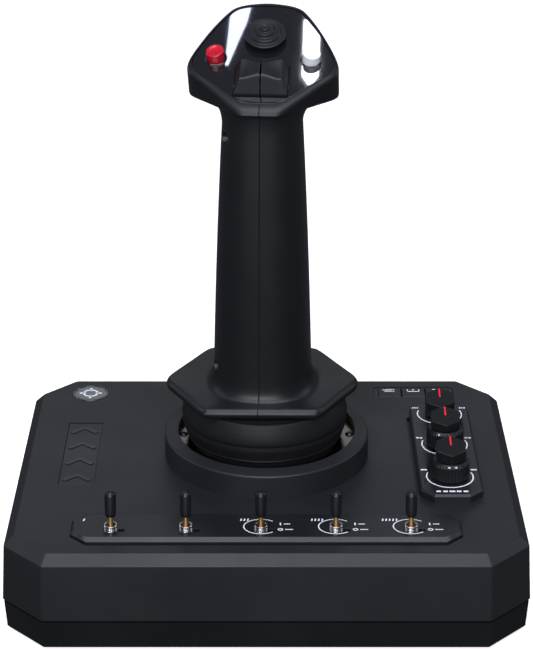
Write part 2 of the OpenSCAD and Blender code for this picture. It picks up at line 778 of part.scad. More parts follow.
module key(i) {
    color("#26262a") translate([key_x[i] - key_w / 2, key_y - key_d / 2, top_z - 5.2]) cube([key_w, key_d, 5]);
}

module key_1() { key(0); }
module key_2() { key(1); }
module key_3() { key(2); }

module key_board() {
    color("#1f4a2c") {
        translate([key_x[1] - 19, key_y - 7, top_z - 12]) cube([38, 14, 1.6]);
        for (x = key_x) translate([x - 3, key_y - 3, top_z - 10.5]) cube([6, 6, 5 - press_travel]);
    }
}

module badge() {
    color("#0d0d0f") translate([badge_at[0], badge_at[1], top_z - 0.95]) {
        cylinder(h = 0.8, r = 8.7);
        tube(8.7, 7.9, 1.15);
        cylinder(h = 1.05, r = 7.4);
    }
}

module chevron_panel() {
    arm_w = 2.4;
    arm_x = 6.4;
    arm_y = 5.6;
    color("#2c2c30") translate([chevron_at[0], chevron_at[1], top_z - 1.15]) {
        translate([-chevron_hw + 0.15, -chevron_hd + 0.15, 0])
            cube([2 * chevron_hw - 0.3, 2 * chevron_hd - 0.3, 0.7]);
        for (i = [0:3]) translate([0, 27.5 - 15.85 * i, 0]) linear_extrude(1.1)
            polygon([[0, 0], [arm_x, -arm_y], [arm_x, -arm_y - arm_w], [0, -arm_w],
                [-arm_x, -arm_y - arm_w], [-arm_x, -arm_y]]);
    }
}

upper_shell();
lower_shell();
rubber_feet();
base_screws();
ballast_plate();
main_circuit_board();
usb_socket();
turret_collar();
boot_ring();
ring_screws();
rubber_boot();
gimbal_frame();
gimbal_screws();
pitch_bearings();
centring_spring();
toggle_panel();
toggle_bushings();
toggle_switches();
knob_panel();
encoder_board();
key_bezel();
key_board();
badge();
chevron_panel();
gimbal_yoke();
pitch_axles();
roll_bearings();
stick_hub();
roll_axle();
stick_shaft();
boot_plate();
twist_spring();
twist_spindle();
grip_left();
grip_right();
grip_screws();
head_faceplate();
grip_circuit_board();
button_rings();
rocker_pin();
hat_base();
hat_ring();
hat_cap();
red_button();
white_button();
rocker_left();
rocker_right();
toggle_lever_1();
toggle_lever_2();
toggle_lever_3();
toggle_lever_4();
toggle_lever_5();
knob_1();
knob_2();
knob_3();
outer_ring_1();
outer_ring_2();
key_1();
key_2();
key_3();
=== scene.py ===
import json
import math

import bmesh
import bpy
import numpy as np
from mathutils import Matrix, Vector


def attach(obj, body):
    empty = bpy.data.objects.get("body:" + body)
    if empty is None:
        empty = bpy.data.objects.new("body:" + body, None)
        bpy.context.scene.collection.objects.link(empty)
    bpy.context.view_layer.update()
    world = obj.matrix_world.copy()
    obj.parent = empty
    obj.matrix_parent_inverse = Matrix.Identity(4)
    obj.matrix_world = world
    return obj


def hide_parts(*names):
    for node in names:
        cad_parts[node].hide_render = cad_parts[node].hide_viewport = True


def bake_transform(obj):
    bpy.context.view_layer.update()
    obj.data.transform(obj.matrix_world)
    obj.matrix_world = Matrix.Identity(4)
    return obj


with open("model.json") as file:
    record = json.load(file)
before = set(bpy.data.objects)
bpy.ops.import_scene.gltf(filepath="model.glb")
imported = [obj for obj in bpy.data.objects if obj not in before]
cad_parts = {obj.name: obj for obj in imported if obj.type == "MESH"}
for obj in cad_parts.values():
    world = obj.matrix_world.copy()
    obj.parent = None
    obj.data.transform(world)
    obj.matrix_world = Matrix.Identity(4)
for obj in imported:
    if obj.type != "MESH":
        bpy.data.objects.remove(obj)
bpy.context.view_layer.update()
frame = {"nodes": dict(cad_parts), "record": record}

# The object's own measures, in millimetres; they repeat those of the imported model
MM = 0.001
TOP = 45.7
STICK = (-1.7, 9.0)
HEADING = math.radians(-4.2)
TILT = math.radians(28)
FACE_Z = 183.2
UNDER_Z = 168.0
TOGGLE_X = [-66.8 + 32.2 * i for i in range(5)]
TOGGLE_Y = -67.4
STRIP = (84.0, -76.3, -50.8)
KNOB_X = 82.0
KNOB_Y = [-23.5, 8.2, 39.8]
PAD_TOP = TOP + 4.0
KEY_X = [60.2, 71.8, 83.4]
KEY_Y = 72.5
BADGE = (-85.8, 70.9)
CHEVRON = (-85.5, 7.3)

GRIP = Matrix.Translation((STICK[0], STICK[1], TOP)) @ Matrix.Rotation(HEADING, 4, "Z")
FACE = GRIP @ Matrix.Translation((0, 0, FACE_Z)) @ Matrix.Rotation(TILT, 4, "X")
TURRET = Matrix.Translation((0, STICK[1], TOP))
SCENE = bpy.context.scene


# ---------------------------------------------------------------- camera and studio

# Places and sizes in the studio are in metres
OVERHEAD = 1.15
PALE = (0.86, 0.91, 1.0)


def add_camera():
    data = bpy.data.cameras.new("studio_camera")
    data.lens = 118.3
    data.sensor_width = 36
    data.clip_start = 0.01
    camera = bpy.data.objects.new("studio_camera", data)
    camera.location = (0, -0.8685, 0.4967)
    camera.rotation_euler = (math.radians(66.2), 0, 0)
    SCENE.collection.objects.link(camera)
    SCENE.camera = camera


def area_light(name, place, aim, size, power, color=(1, 1, 1)):
    data = bpy.data.lights.new(name, "AREA")
    data.shape = "RECTANGLE"
    data.size, data.size_y = size
    data.energy = power
    data.color = color
    light = bpy.data.objects.new(name, data)
    light.location = place
    light.rotation_euler = (Vector(aim) - Vector(place)).to_track_quat("-Z", "Y").to_euler()
    SCENE.collection.objects.link(light)


def strip_light(name, start, end, wide, narrow, shoulder, strength, color):
    """A flat emitting strip overhead. It keeps its width up to the shoulder, a share of its length, and narrows
    from there to its end."""
    start, end = Vector(start), Vector(end)
    along = (end - start).normalized()
    across = Vector((-along.y, along.x)) / 2
    stations = [(start, wide), (start.lerp(end, shoulder), wide), (end, narrow)]
    corners = [at + across * width for at, width in stations]
    corners += [at - across * width for at, width in reversed(stations)]
    material = bpy.data.materials.new(name)
    material.use_nodes = True
    shader = material.node_tree.nodes["Principled BSDF"]
    shader.inputs["Base Color"].default_value = (0, 0, 0, 1)
    shader.inputs["Emission Color"].default_value = (*color, 1)
    shader.inputs["Emission Strength"].default_value = strength
    mesh = bpy.data.meshes.new(name)
    mesh.from_pydata([(x, y, OVERHEAD) for x, y in corners], [], [tuple(range(len(corners)))])
    mesh.materials.append(material)
    panel = bpy.data.objects.new(name, mesh)
    SCENE.collection.objects.link(panel)


def add_studio():
    SCENE.view_settings.view_transform = "Standard"
    world = bpy.data.worlds.new("studio_world")
    world.use_nodes = True
    background = world.node_tree.nodes["Background"]
    background.inputs["Color"].default_value = (*PALE, 1)
    background.inputs["Strength"].default_value = 0.10
    SCENE.world = world
    area_light("top_box", (0.0, -0.48, 1.25), (0.0, 0.0, 0.10), (1.1, 0.6), 14.0, (0.86, 0.89, 1.0))
    area_light("front_box", (-0.15, -1.5, 0.75), (0, 0, 0.10), (1.2, 0.7), 25.0, (0.92, 0.95, 1.0))
    area_light("back_box", (-0.1, 1.3, 0.80), (0, 0, 0.05), (1.4, 0.5), 1.7, PALE)
    area_light("rim_left", (-0.9, 0.25, 0.60), (0, 0, 0.15), (0.3, 0.8), 1.5, (0.90, 0.93, 1.0))
    area_light("rim_right", (0.9, 0.25, 0.60), (0, 0, 0.15), (0.3, 0.8), 1.5, (0.93, 0.95, 1.0))
    strip_light("strip_left", (-0.064, 0.362), (-0.082, 0.300), 0.016, 0.003, 0.33, 14.0, (0.70, 0.76, 1.0))
    strip_light("strip_right", (-0.005, 0.338), (-0.0095, 0.278), 0.015, 0.003, 0.86, 24.0, (0.85, 0.88, 1.0))
    add_floor()


def add_floor():
    """A pale floor that curves up into a wall behind."""
    floor_material = bpy.data.materials.new("studio_floor")
    floor_material.use_nodes = True
    shader = floor_material.node_tree.nodes["Principled BSDF"]
    shader.inputs["Base Color"].default_value = (0.90, 0.90, 0.91, 1)
    shader.inputs["Roughness"].default_value = 0.75
    shader.inputs["Emission Color"].default_value = (1.0, 1.0, 1.0, 1)
    shader.inputs["Emission Strength"].default_value = 0.60
    mesh = bpy.data.meshes.new("studio_floor")
    bm = bmesh.new()
    sweep = [(-4.0, 0.0), (2.2, 0.0)]
    sweep += [(2.2 + 0.8 * math.sin(a), 0.8 - 0.8 * math.cos(a)) for a in np.linspace(0.1, math.pi / 2, 16)]
    sweep += [(3.0, 4.0)]
    rows = [[bm.verts.new((x, y, z)) for y, z in sweep] for x in (-6, 6)]
    for i in range(len(sweep) - 1):
        bm.faces.new((rows[0][i], rows[1][i], rows[1][i + 1], rows[0][i + 1]))
    bm.to_mesh(mesh)
    bm.free()
    mesh.materials.append(floor_material)
    for face in mesh.polygons:
        face.use_smooth = True
    floor = bpy.data.objects.new("studio_floor", mesh)
    floor.visible_glossy = False
    floor.visible_diffuse = False
    SCENE.collection.objects.link(floor)


add_camera()
add_studio()


# ---------------------------------------------------------------- materials

def finish_material(name, color, rough, grain=0.35, bump=0.12, tone=0.10, metallic=0.0, coat=0.0,
                    wear=0.0, streak=0.0, specular=0.5, spread=0.06):
    """A procedural finish: fine grain in the normal, uneven roughness, slight tone changes and worn edges.
    grain is the size of the grain in millimetres, streak stretches it along Y as on brushed metal."""
    material = bpy.data.materials.new(name)
    material.use_nodes = True
    tree = material.node_tree
    shader = tree.nodes["Principled BSDF"]
    shader.inputs["Metallic"].default_value = metallic
    shader.inputs["Coat Weight"].default_value = coat
    shader.inputs["Coat Roughness"].default_value = 0.012
    shader.inputs["Specular IOR Level"].default_value = specular

    def node(kind, **values):
        made = tree.nodes.new(kind)
        for key, value in values.items():
            made.inputs[key].default_value = value
        return made

    where = tree.nodes.new("ShaderNodeTexCoord").outputs["Object"]
    fine_where = where
    if streak:
        stretch = tree.nodes.new("ShaderNodeMapping")
        stretch.inputs["Scale"].default_value = (1, 1 / streak, 1)
        tree.links.new(where, stretch.inputs["Vector"])
        fine_where = stretch.outputs["Vector"]
    fine = node("ShaderNodeTexNoise", Scale=1000 / grain, Detail=3.0, Roughness=0.6)
    cloud = node("ShaderNodeTexNoise", Scale=38.0, Detail=5.0, Roughness=0.62)
    smudge = node("ShaderNodeTexNoise", Scale=11.0, Detail=3.0, Roughness=0.5)
    tree.links.new(fine_where, fine.inputs["Vector"])
    tree.links.new(where, cloud.inputs["Vector"])
    tree.links.new(where, smudge.inputs["Vector"])

    bumps = node("ShaderNodeBump", Strength=bump, Distance=0.0002)
    tree.links.new(fine.outputs["Fac"], bumps.inputs["Height"])
    tree.links.new(bumps.outputs["Normal"], shader.inputs["Normal"])

    mixed = tree.nodes.new("ShaderNodeMath")
    mixed.operation = "ADD"
    tree.links.new(cloud.outputs["Fac"], mixed.inputs[0])
    tree.links.new(smudge.outputs["Fac"], mixed.inputs[1])
    roughness = node("ShaderNodeMapRange", **{"From Min": 0.7, "From Max": 1.3,
                                               "To Min": max(rough - spread, 0.02), "To Max": rough + spread})
    tree.links.new(mixed.outputs[0], roughness.inputs["Value"])
    tree.links.new(roughness.outputs[0], shader.inputs["Roughness"])

    tones = tree.nodes.new("ShaderNodeMix")
    tones.data_type = "RGBA"
    tones.inputs["A"].default_value = (*[c * (1 - tone) for c in color], 1)
    tones.inputs["B"].default_value = (*[min(c * (1 + tone), 1) for c in color], 1)
    tree.links.new(cloud.outputs["Fac"], tones.inputs["Factor"])
    surface = tones.outputs["Result"]
    if wear:
        rounded = node("ShaderNodeBevel", Radius=0.0007)
        rounded.samples = 4
        flat = tree.nodes.new("ShaderNodeNewGeometry")
        match = tree.nodes.new("ShaderNodeVectorMath")
        match.operation = "DOT_PRODUCT"
        tree.links.new(rounded.outputs["Normal"], match.inputs[0])
        tree.links.new(flat.outputs["Normal"], match.inputs[1])
        edge = node("ShaderNodeMapRange", **{"From Min": 0.995, "From Max": 0.90,
                                             "To Min": 0.0, "To Max": wear})
        tree.links.new(match.outputs["Value"], edge.inputs["Value"])
        broken = tree.nodes.new("ShaderNodeMath")
        broken.operation = "MULTIPLY"
        tree.links.new(edge.outputs[0], broken.inputs[0])
        tree.links.new(cloud.outputs["Fac"], broken.inputs[1])
        worn = tree.nodes.new("ShaderNodeMix")
        worn.data_type = "RGBA"
        worn.inputs["B"].default_value = (*[min(c * 2.4 + 0.006, 1) for c in color], 1)
        tree.links.new(broken.outputs[0], worn.inputs["Factor"])
        tree.links.new(surface, worn.inputs["A"])
        surface = worn.outputs["Result"]
    tree.links.new(surface, shader.inputs["Base Color"])
    return material


PLASTIC = {"specular": 0.34, "wear": 0.6}
MATERIALS = {
    "base_plastic": finish_material("base_plastic", (0.0105, 0.0110, 0.0135), 0.46, 0.30, 0.16, **PLASTIC),
    "tray_plastic": finish_material("tray_plastic", (0.0040, 0.0040, 0.0048), 0.48, 0.30, 0.16, **PLASTIC),
    "panel_plastic": finish_material("panel_plastic", (0.0085, 0.0087, 0.0110), 0.38, 0.22, 0.10, **PLASTIC),
    "grip_plastic": finish_material("grip_plastic", (0.0058, 0.0060, 0.0078), 0.40, 0.34, 0.22, **PLASTIC),
    "face_gloss": finish_material("face_gloss", (0.0075, 0.0078, 0.0095), 0.03, 2.0, 0.003, coat=1.0,
                                  spread=0.01),
    "knob_plastic": finish_material("knob_plastic", (0.0052, 0.0052, 0.0066), 0.38, 0.25, 0.12, **PLASTIC),
    "control_plastic": finish_material("control_plastic", (0.0085, 0.0088, 0.0115), 0.42, 0.22, 0.14,
                                       **PLASTIC),
    "red_plastic": finish_material("red_plastic", (0.44, 0.0035, 0.020), 0.32, 0.25, 0.06, coat=0.2),
    "white_plastic": finish_material("white_plastic", (0.82, 0.82, 0.86), 0.32, 0.25, 0.06, coat=0.2,
                                     tone=0.04),
    "boot_rubber": finish_material("boot_rubber", (0.0062, 0.0064, 0.0080), 0.55, 0.45, 0.30, specular=0.2),
    "foot_rubber": finish_material("foot_rubber", (0.006, 0.006, 0.006), 0.75, 0.50, 0.35, specular=0.2),
    "ring_metal": finish_material("ring_metal", (0.13, 0.118, 0.094), 0.17, 0.12, 0.10, metallic=1.0, streak=6),
    "bright_steel": finish_material("bright_steel", (0.42, 0.42, 0.43), 0.24, 0.15, 0.08, metallic=1.0),
    "steel": finish_material("steel", (0.30, 0.30, 0.31), 0.36, 0.12, 0.10, metallic=1.0, streak=5),
    "dark_steel": finish_material("dark_steel", (0.05, 0.05, 0.055), 0.40, 0.15, 0.10, metallic=1.0),
    "zinc": finish_material("zinc", (0.20, 0.20, 0.21), 0.50, 0.6, 0.20, metallic=0.8),
    "bronze": finish_material("bronze", (0.45, 0.28, 0.11), 0.42, 0.3, 0.20, metallic=1.0),
    "board": finish_material("board", (0.02, 0.09, 0.04), 0.40, 0.8, 0.10),
    "badge_black": finish_material("badge_black", (0.003, 0.003, 0.004), 0.10, 1.5, 0.01, coat=0.8),
    "white_print": finish_material("white_print", (0.80, 0.82, 0.88), 0.55, 0.10, 0.10, tone=0.05),
    "red_print": finish_material("red_print", (0.80, 0.012, 0.018), 0.50, 0.10, 0.10),
    "chevron_paint": finish_material("chevron_paint", (0.0150, 0.0155, 0.0190), 0.34, 0.22, 0.08, **PLASTIC),
}

for part in frame["record"]["subparts"]:
    mesh = frame["nodes"][part["node"]].data
    mesh.materials.clear()
    mesh.materials.append(MATERIALS[part["material_slot"]])


# ---------------------------------------------------------------- shape helpers

def loft(rings, closed=True, start=True, end=True):
    """Faces through rings that have the same number of points. Closed joins each ring's last point to its
    first; start and end are the caps."""
    n = len(rings[0])
    verts = [tuple(p) for ring in rings for p in ring]
    faces = []
    for k in range(len(rings) - 1):
        for i in range(n if closed else n - 1):
            j = (i + 1) % n
            faces.append((k * n + i, k * n + j, (k + 1) * n + j, (k + 1) * n + i))
    if start:
        faces.append(tuple(range(n - 1, -1, -1)))
    if end:
        faces.append(tuple((len(rings) - 1) * n + i for i in range(n)))
    return verts, faces


def join(*shapes):
    """Several shapes as one."""
    verts, faces = [], []
    for shape_verts, shape_faces in shapes:
        base = len(verts)
        verts += shape_verts
        faces += [tuple(base + i for i in face) for face in shape_faces]
    return verts, faces


def moved(shape, matrix):
    return [tuple(matrix @ Vector(v)) for v in shape[0]], shape[1]


def shifted(shape, x=0.0, y=0.0, z=0.0):
    return [(v[0] + x, v[1] + y, v[2] + z) for v in shape[0]], shape[1]


def fillet(points, steps=4, closed=True):
    """Rounds the corners of a flat path: each point is (x, y) or (x, y, radius)."""
    out = []
    n = len(points)
    for i, p in enumerate(points):
        here = Vector(p[:2])
        if len(p) < 3 or p[2] <= 0 or (not closed and i in (0, n - 1)):
            out.append(tuple(here))
            continue
        before = (Vector(points[i - 1][:2]) - here)
        after = (Vector(points[(i + 1) % n][:2]) - here)
        half = before.angle(after) / 2
        if half > math.radians(89.5):
            out.append(tuple(here))
            continue
        reach = min(p[2] / math.tan(half), before.length * 0.49, after.length * 0.49)
        radius = reach * math.tan(half)
        centre = here + (before.normalized() + after.normalized()).normalized() * (radius / math.sin(half))
        a = here + before.normalized() * reach - centre
        b = here + after.normalized() * reach - centre
        turn = a.angle_signed(b)
        for k in range(steps + 1):
            angle = -turn * k / steps
            out.append((centre.x + a.x * math.cos(angle) - a.y * math.sin(angle),
                        centre.y + a.x * math.sin(angle) + a.y * math.cos(angle)))
    return out


def lathe(profile, segments=96):
    """Turns a closed profile of (radius, height) about Z."""
    rings = []
    for i in range(segments):
        a = 2 * math.pi * i / segments
        rings.append([(max(r, 0) * math.cos(a), max(r, 0) * math.sin(a), z) for r, z in profile])
    rings.append(rings[0])
    return loft(rings, start=False, end=False)


def grown(outline, d):
    """The outline moved outwards by d, along its own corners' normals. It runs anticlockwise."""
    n = len(outline)
    out = []
    for i in range(n):
        p, q, r = (Vector(outline[(i + k) % n]) for k in (-1, 0, 1))
        a, b = (q - p), (r - q)
        if a.length < 1e-9 or b.length < 1e-9:
            out.append(tuple(q))
            continue
        na, nb = Vector((a.y, -a.x)).normalized(), Vector((b.y, -b.x)).normalized()
        mid = (na + nb).normalized()
        out.append(tuple(q + mid * (d / max(mid.dot(na), 0.5))))
    return out


def prism(outline, low, high, top_edge=0.0, low_edge=0.0, steps=3):
    """An outline raised from low to high, with rounded top and bottom edges. High may be a function of x and
    y."""
    rise = high if callable(high) else (lambda x, y: high)
    rings = []
    if low_edge:
        for k in range(steps, -1, -1):
            a = math.pi / 2 * k / steps
            inset = grown(outline, -low_edge * (1 - math.cos(a)))
            rings.append([(x, y, low + low_edge * (1 - math.sin(a))) for x, y in inset])
    else:
        rings.append([(x, y, low) for x, y in outline])
    for k in range(steps + 1):
        a = math.pi / 2 * k / steps
        drop = top_edge * (1 - math.sin(a))
        rings.append([(x, y, rise(x, y) - drop) for x, y in grown(outline, -top_edge * (1 - math.cos(a)))])
        if not top_edge:
            break
    return loft(rings)


def octagon(hw, hd, cut, radius=0.0, at=(0, 0), steps=3):
    """A rectangle of those half sizes with its corners cut off, and the cuts' own corners rounded."""
    points = [(hw - cut, -hd), (hw, -hd + cut), (hw, hd - cut), (hw - cut, hd),
              (-hw + cut, hd), (-hw, hd - cut), (-hw, -hd + cut), (-hw + cut, -hd)]
    points = [(x + at[0], y + at[1], radius) for x, y in points]
    return fillet(points, steps) if radius else [p[:2] for p in points]


def box_outline(hw, hd, radius, at=(0, 0)):
    corners = ((1, -1), (1, 1), (-1, 1), (-1, -1))
    return fillet([(at[0] + sx * hw, at[1] + sy * hd, radius) for sx, sy in corners], 4)


def disc_outline(radius, at=(0, 0), count=48):
    turns = [2 * math.pi * i / count for i in range(count)]
    return [(at[0] + radius * math.cos(a), at[1] + radius * math.sin(a)) for a in turns]


def ribbon(path, width, low, high, slope=None):
    """A flat printed stroke of that width along a path."""
    left, right = [], []
    for i, p in enumerate(path):
        here = Vector(p)
        ahead = Vector(path[min(i + 1, len(path) - 1)]) - Vector(path[max(i - 1, 0)])
        side = Vector((-ahead.y, ahead.x)).normalized() * (width / 2)
        left.append(here + side)
        right.append(here - side)
    lift = slope if slope else (lambda x, y: 0.0)
    rings = []
    for a, b in zip(left, right):
        by_a, by_b = lift(a.x, a.y), lift(b.x, b.y)
        rings.append([(a.x, a.y, low + by_a), (b.x, b.y, low + by_b),
                      (b.x, b.y, high + by_b), (a.x, a.y, high + by_a)])
    return loft(rings)


def arc(radius, start, end, at=(0, 0), count=40):
    """A path along a circle between two angles in degrees."""
    return [(at[0] + radius * math.cos(math.radians(a)), at[1] + radius * math.sin(math.radians(a)))
            for a in np.linspace(start, end, count)]


def at_even_angles(points, count):
    """The closed outline through the points, as count points at even angles, from the front by the right."""
    angles = np.array([math.atan2(p.y, p.x) for p in points])
    radii = np.array([p.length for p in points])
    order = np.argsort(angles)
    want = np.array([-math.pi / 2 + 2 * math.pi * i / count for i in range(count)])
    found = np.interp(want, angles[order], radii[order], period=2 * math.pi)
    return [(r * math.cos(a), r * math.sin(a)) for a, r in zip(want, found)]


def polar(half, count):
    """Closed smooth outline through half an outline's points (x >= 0, from rear to front), at even angles; the
    outline is mirrored on the other side."""
    points = [Vector(p) for p in half]
    points += [Vector((-p[0], p[1])) for p in reversed(half) if p[0] > 1e-6]
    n = len(points)
    fine = []
    for i in range(n):
        a, b, c, d = (points[(i + k) % n] for k in (-1, 0, 1, 2))
        for t in np.linspace(0, 1, 12, endpoint=False):
            fine.append(0.5 * ((2 * b) + (c - a) * t + (2 * a - 5 * b + 4 * c - d) * t ** 2
                               + (3 * b - a - 3 * c + d) * t ** 3))
    return at_even_angles(fine, count)


PIECES = []
CREASE = 32
WELD = 0.002


def piece(name, body, finish, shape, at=None, replaces=(), crease=CREASE):
    """A new piece of the visual model: a shape in millimetres, its finish, and the body that it rides on."""
    mesh = bpy.data.meshes.new(name)
    mesh.from_pydata([tuple(v) for v in shape[0]], [], shape[1])
    bm = bmesh.new()
    bm.from_mesh(mesh)
    bmesh.ops.remove_doubles(bm, verts=bm.verts, dist=WELD)
    bmesh.ops.dissolve_degenerate(bm, edges=bm.edges, dist=0.001)
    bmesh.ops.recalc_face_normals(bm, faces=bm.faces)
    bm.to_mesh(mesh)
    bm.free()
    mesh.transform(Matrix.Scale(MM, 4) @ (at or Matrix()))
    mesh.materials.append(MATERIALS[finish])
    obj = bpy.data.objects.new(name, mesh)
    SCENE.collection.objects.link(obj)
    smooth(obj, crease)
    if body:
        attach(obj, body)
    if replaces:
        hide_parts(*replaces)
    PIECES.append(obj)
    return obj


def smooth(obj, crease):
    for face in obj.data.polygons:
        face.use_smooth = True
    obj.data.set_sharp_from_angle(angle=math.radians(crease))


def carve(obj, *shapes, at=None, crease=CREASE):
    """Cuts closed shapes out of a piece."""
    mesh = bpy.data.meshes.new("cutter")
    verts, faces = join(*shapes)
    mesh.from_pydata(verts, [], faces)
    bm = bmesh.new()
    bm.from_mesh(mesh)
    bmesh.ops.remove_doubles(bm, verts=bm.verts, dist=WELD)
    bmesh.ops.recalc_face_normals(bm, faces=bm.faces)
    bm.to_mesh(mesh)
    bm.free()
    mesh.transform(Matrix.Scale(MM, 4) @ (at or Matrix()))
    cutter = bpy.data.objects.new("cutter", mesh)
    SCENE.collection.objects.link(cutter)
    modifier = obj.modifiers.new("carve", "BOOLEAN")
    modifier.operation = "DIFFERENCE"
    modifier.solver = "EXACT"
    modifier.object = cutter
    graph = bpy.context.evaluated_depsgraph_get()
    graph.update()
    result = bpy.data.meshes.new_from_object(obj.evaluated_get(graph))
    obj.modifiers.clear()
    old = obj.data
    obj.data = result
    bpy.data.meshes.remove(old)
    bpy.data.objects.remove(cutter)
    bpy.data.meshes.remove(mesh)
    smooth(obj, crease)


def soften(obj, width, segments=2, angle=35):
    """Rounds a piece's edges."""
    modifier = obj.modifiers.new("edges", "BEVEL")
    modifier.width = width * MM
    modifier.segments = segments
    modifier.limit_method = "ANGLE"
    modifier.angle_limit = math.radians(angle)
    modifier.harden_normals = True


def rod(radius, low, high, at=(0, 0), count=40):
    """An upright cylinder."""
    return prism(disc_outline(radius, at, count), low, high)


# ---------------------------------------------------------------- base housing

DECK = (108.5, 84.8)
DECK_CUT = 15
SPLIT = 15.6
PANEL_DEPTH = 1.2
SLACK = 0.25
STRIP_CUT = 7
TURRET_HOLE = 41
KNOB_HOLE = 3.7
TOGGLE_HOLE = 3.15
PAD = (14, 46.5, 6)
PAD_Y = 5.5
RING_LOW, RING_TOP = 7.05, 8.85
RING_SCREWS = [(38 * math.cos(a), 38 * math.sin(a), a) for a in np.radians(range(0, 360, 60))]


def base_rings(profile):
    """Rings of the deck's outline, moved out by d at height z for each (d, z)."""
    rings = []
    for d, z in profile:
        outline = octagon(DECK[0] + d, DECK[1] + d, DECK_CUT + (2 - math.sqrt(2)) * d, 2.2, steps=4)
        rings.append([(x, y, z) for x, y in outline])
    return rings


def make_base():
    outer = fillet([(3.0, SPLIT), (5.68, SPLIT, 0.45), (4.2, TOP - 4.2, 0.9), (0.0, TOP, 0.9), (-3.0, TOP)], 4,
                   False)
    inner = [(-2.1, TOP - 3.0), (1.6, TOP - 5.2), (3.0, SPLIT)]
    shell = piece("housing_top", "base", "base_plastic", loft(base_rings(inner + outer[1:])),
                  replaces=["upper_shell"])
    hw, front, back = STRIP
    front, back = front - 1.8, back + SLACK
    strip = octagon(hw + SLACK, (back - front) / 2, STRIP_CUT, at=(0, (front + back) / 2))
    above, through = TOP + 2, TOP - 6
    carve(shell,
          rod(TURRET_HOLE, through, above, (0, STICK[1]), 96),
          prism(strip, TOP - PANEL_DEPTH, above),
          prism(octagon(PAD[0], PAD[1] - 3, PAD[2], at=(KNOB_X - 1.5, PAD_Y)), TOP - PANEL_DEPTH, above),
          rod(8.8, TOP - 1, above, BADGE, 64),
          prism(box_outline(8, 31.5, 0.8, CHEVRON), TOP - PANEL_DEPTH, above),
          prism(octagon(19.5, 5.8, 2, at=(KEY_X[1], KEY_Y)), TOP - 5, above))
    carve(shell, *[rod(KNOB_HOLE, through, above, (KNOB_X, y)) for y in KNOB_Y],
          *[rod(TOGGLE_HOLE, through, above, (x, TOGGLE_Y)) for x in TOGGLE_X])
    soften(frame["nodes"]["lower_shell"], 0.35)


def make_turret():
    collar = fillet([(40.9, -3), (40.9, 0.06), (46.7, 0.06), (46.7, 11.2, 0.9), (40.35, 12.6, 0.4),
                     (40.35, 7.0), (35.5, 7.0), (35.5, 4.0), (38.9, 4.0), (38.9, -3)], 5)
    piece("turret_rim", "base", "base_plastic", lathe(collar, 160), TURRET, ["turret_collar"])
    ring = fillet([(33.6, RING_LOW), (40.15, RING_LOW), (40.15, RING_TOP, 0.25), (33.6, RING_TOP, 0.35)], 3)
    metal = piece("boot_clamp_ring", "base", "ring_metal", lathe(ring, 160), TURRET, ["boot_ring"])
    carve(metal, *[rod(1.2, 6, 10, (x, y), 20) for x, y, a in RING_SCREWS], at=TURRET)
    head = lathe(fillet([(0, 9.75), (1.2, 9.72, 0.3), (1.9, 9.1, 0.3), (1.9, 8.87), (1.0, 8.87), (1.0, 7.0),
                         (0, 7.0)], 2), 24)
    heads = [shifted(head, x, y) for x, y, a in RING_SCREWS]
    screws = piece("clamp_screws", "base", "dark_steel", join(*heads), TURRET, ["ring_screws"])
    slot = prism([(-1.1, -0.2), (1.1, -0.2), (1.1, 0.2), (-1.1, 0.2)], 9.3, 11)
    for turn in (0, math.pi / 2):
        slots = [moved(slot, Matrix.Translation((x, y, 0)) @ Matrix.Rotation(a * 1.7 + turn, 4, "Z"))
                 for x, y, a in RING_SCREWS]
        carve(screws, *slots, at=TURRET)


def make_boot():
    """The rubber boot is two lathed folds, a lower and an upper one, both fixed in place."""
    wall = 1.2
    crease = (37.25, 20.4)
    lower = [(33.3, 7.6), (33.35, 9.6), (33.9, 11.0), (35.2, 12.3), (35.9, 12.9), (35.75, 13.25), (36.35, 14.6),
             (37.05, 16.6), (37.45, 18.5), crease]
    upper = [crease, (37.62, 21.3), (37.7, 22.4), (37.45, 24.2), (36.85, 26.4), (35.9, 28.8), (35.3, 30.0),
             (34.9, 30.45)]
    axis = Matrix.Translation((STICK[0] * 0.5, STICK[1], TOP))
    for name, rows, bodies, span in (("boot_lower_fold", lower, ("base", "yoke"), (8.5, crease[1])),
                                     ("boot_upper_fold", upper, ("yoke", "stick"), (crease[1], 29.5))):
        fine = []
        for a, b in zip(rows, rows[1:]):
            fine += [(a[0] + (b[0] - a[0]) * k / 3, a[1] + (b[1] - a[1]) * k / 3) for k in range(3)]
        fine.append(rows[-1])
        back = [(r - wall, z) for r, z in reversed(fine)]
        obj = piece(name, None, "boot_rubber", lathe(fine + back, 144), axis, ["rubber_boot"], 40)
        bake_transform(obj)


make_base()
make_turret()
make_boot()


# ---------------------------------------------------------------- grip

SIDES = 192
# Half outlines of the head's face, the faceplate and the hand rest, from the rear to the front
HEAD = [(0, 41.5), (7.5, 40.5), (13.2, 38.5), (16.7, 35.6), (22, 27.2), (28, 15), (31.3, 6.8), (32.55, 1.6),
        (31.2, -3.0), (24.3, -10.0), (17.4, -17.0), (11.4, -23.2), (8.2, -25.6), (5.5, -26.1), (0, -26.2)]
PLATE = [(0, 38.9), (6, 38.5), (10.6, 37.6), (13.9, 35.9), (16.9, 32.2), (23.3, 22), (28, 12), (30.2, 6.6),
         (30.3, 2.4), (27.5, -3.0), (19.9, -9.4), (13.2, -15.6), (9.4, -18.7), (6.2, -19.9), (0, -20.3)]
REST = [(0, 35.5), (20, 35.5), (24, 34.6), (27.4, 31.8), (34, 20.2), (40.2, 9.3), (42.9, 4.2), (43.7, 0),
        (42.9, -4.2), (40, -9.3), (33.2, -21.2), (28.8, -29.4), (26.2, -32.9), (22.6, -34.3), (0, -34.5)]
REST_BACK = 4.4
REST_TURN = math.radians(3.6)
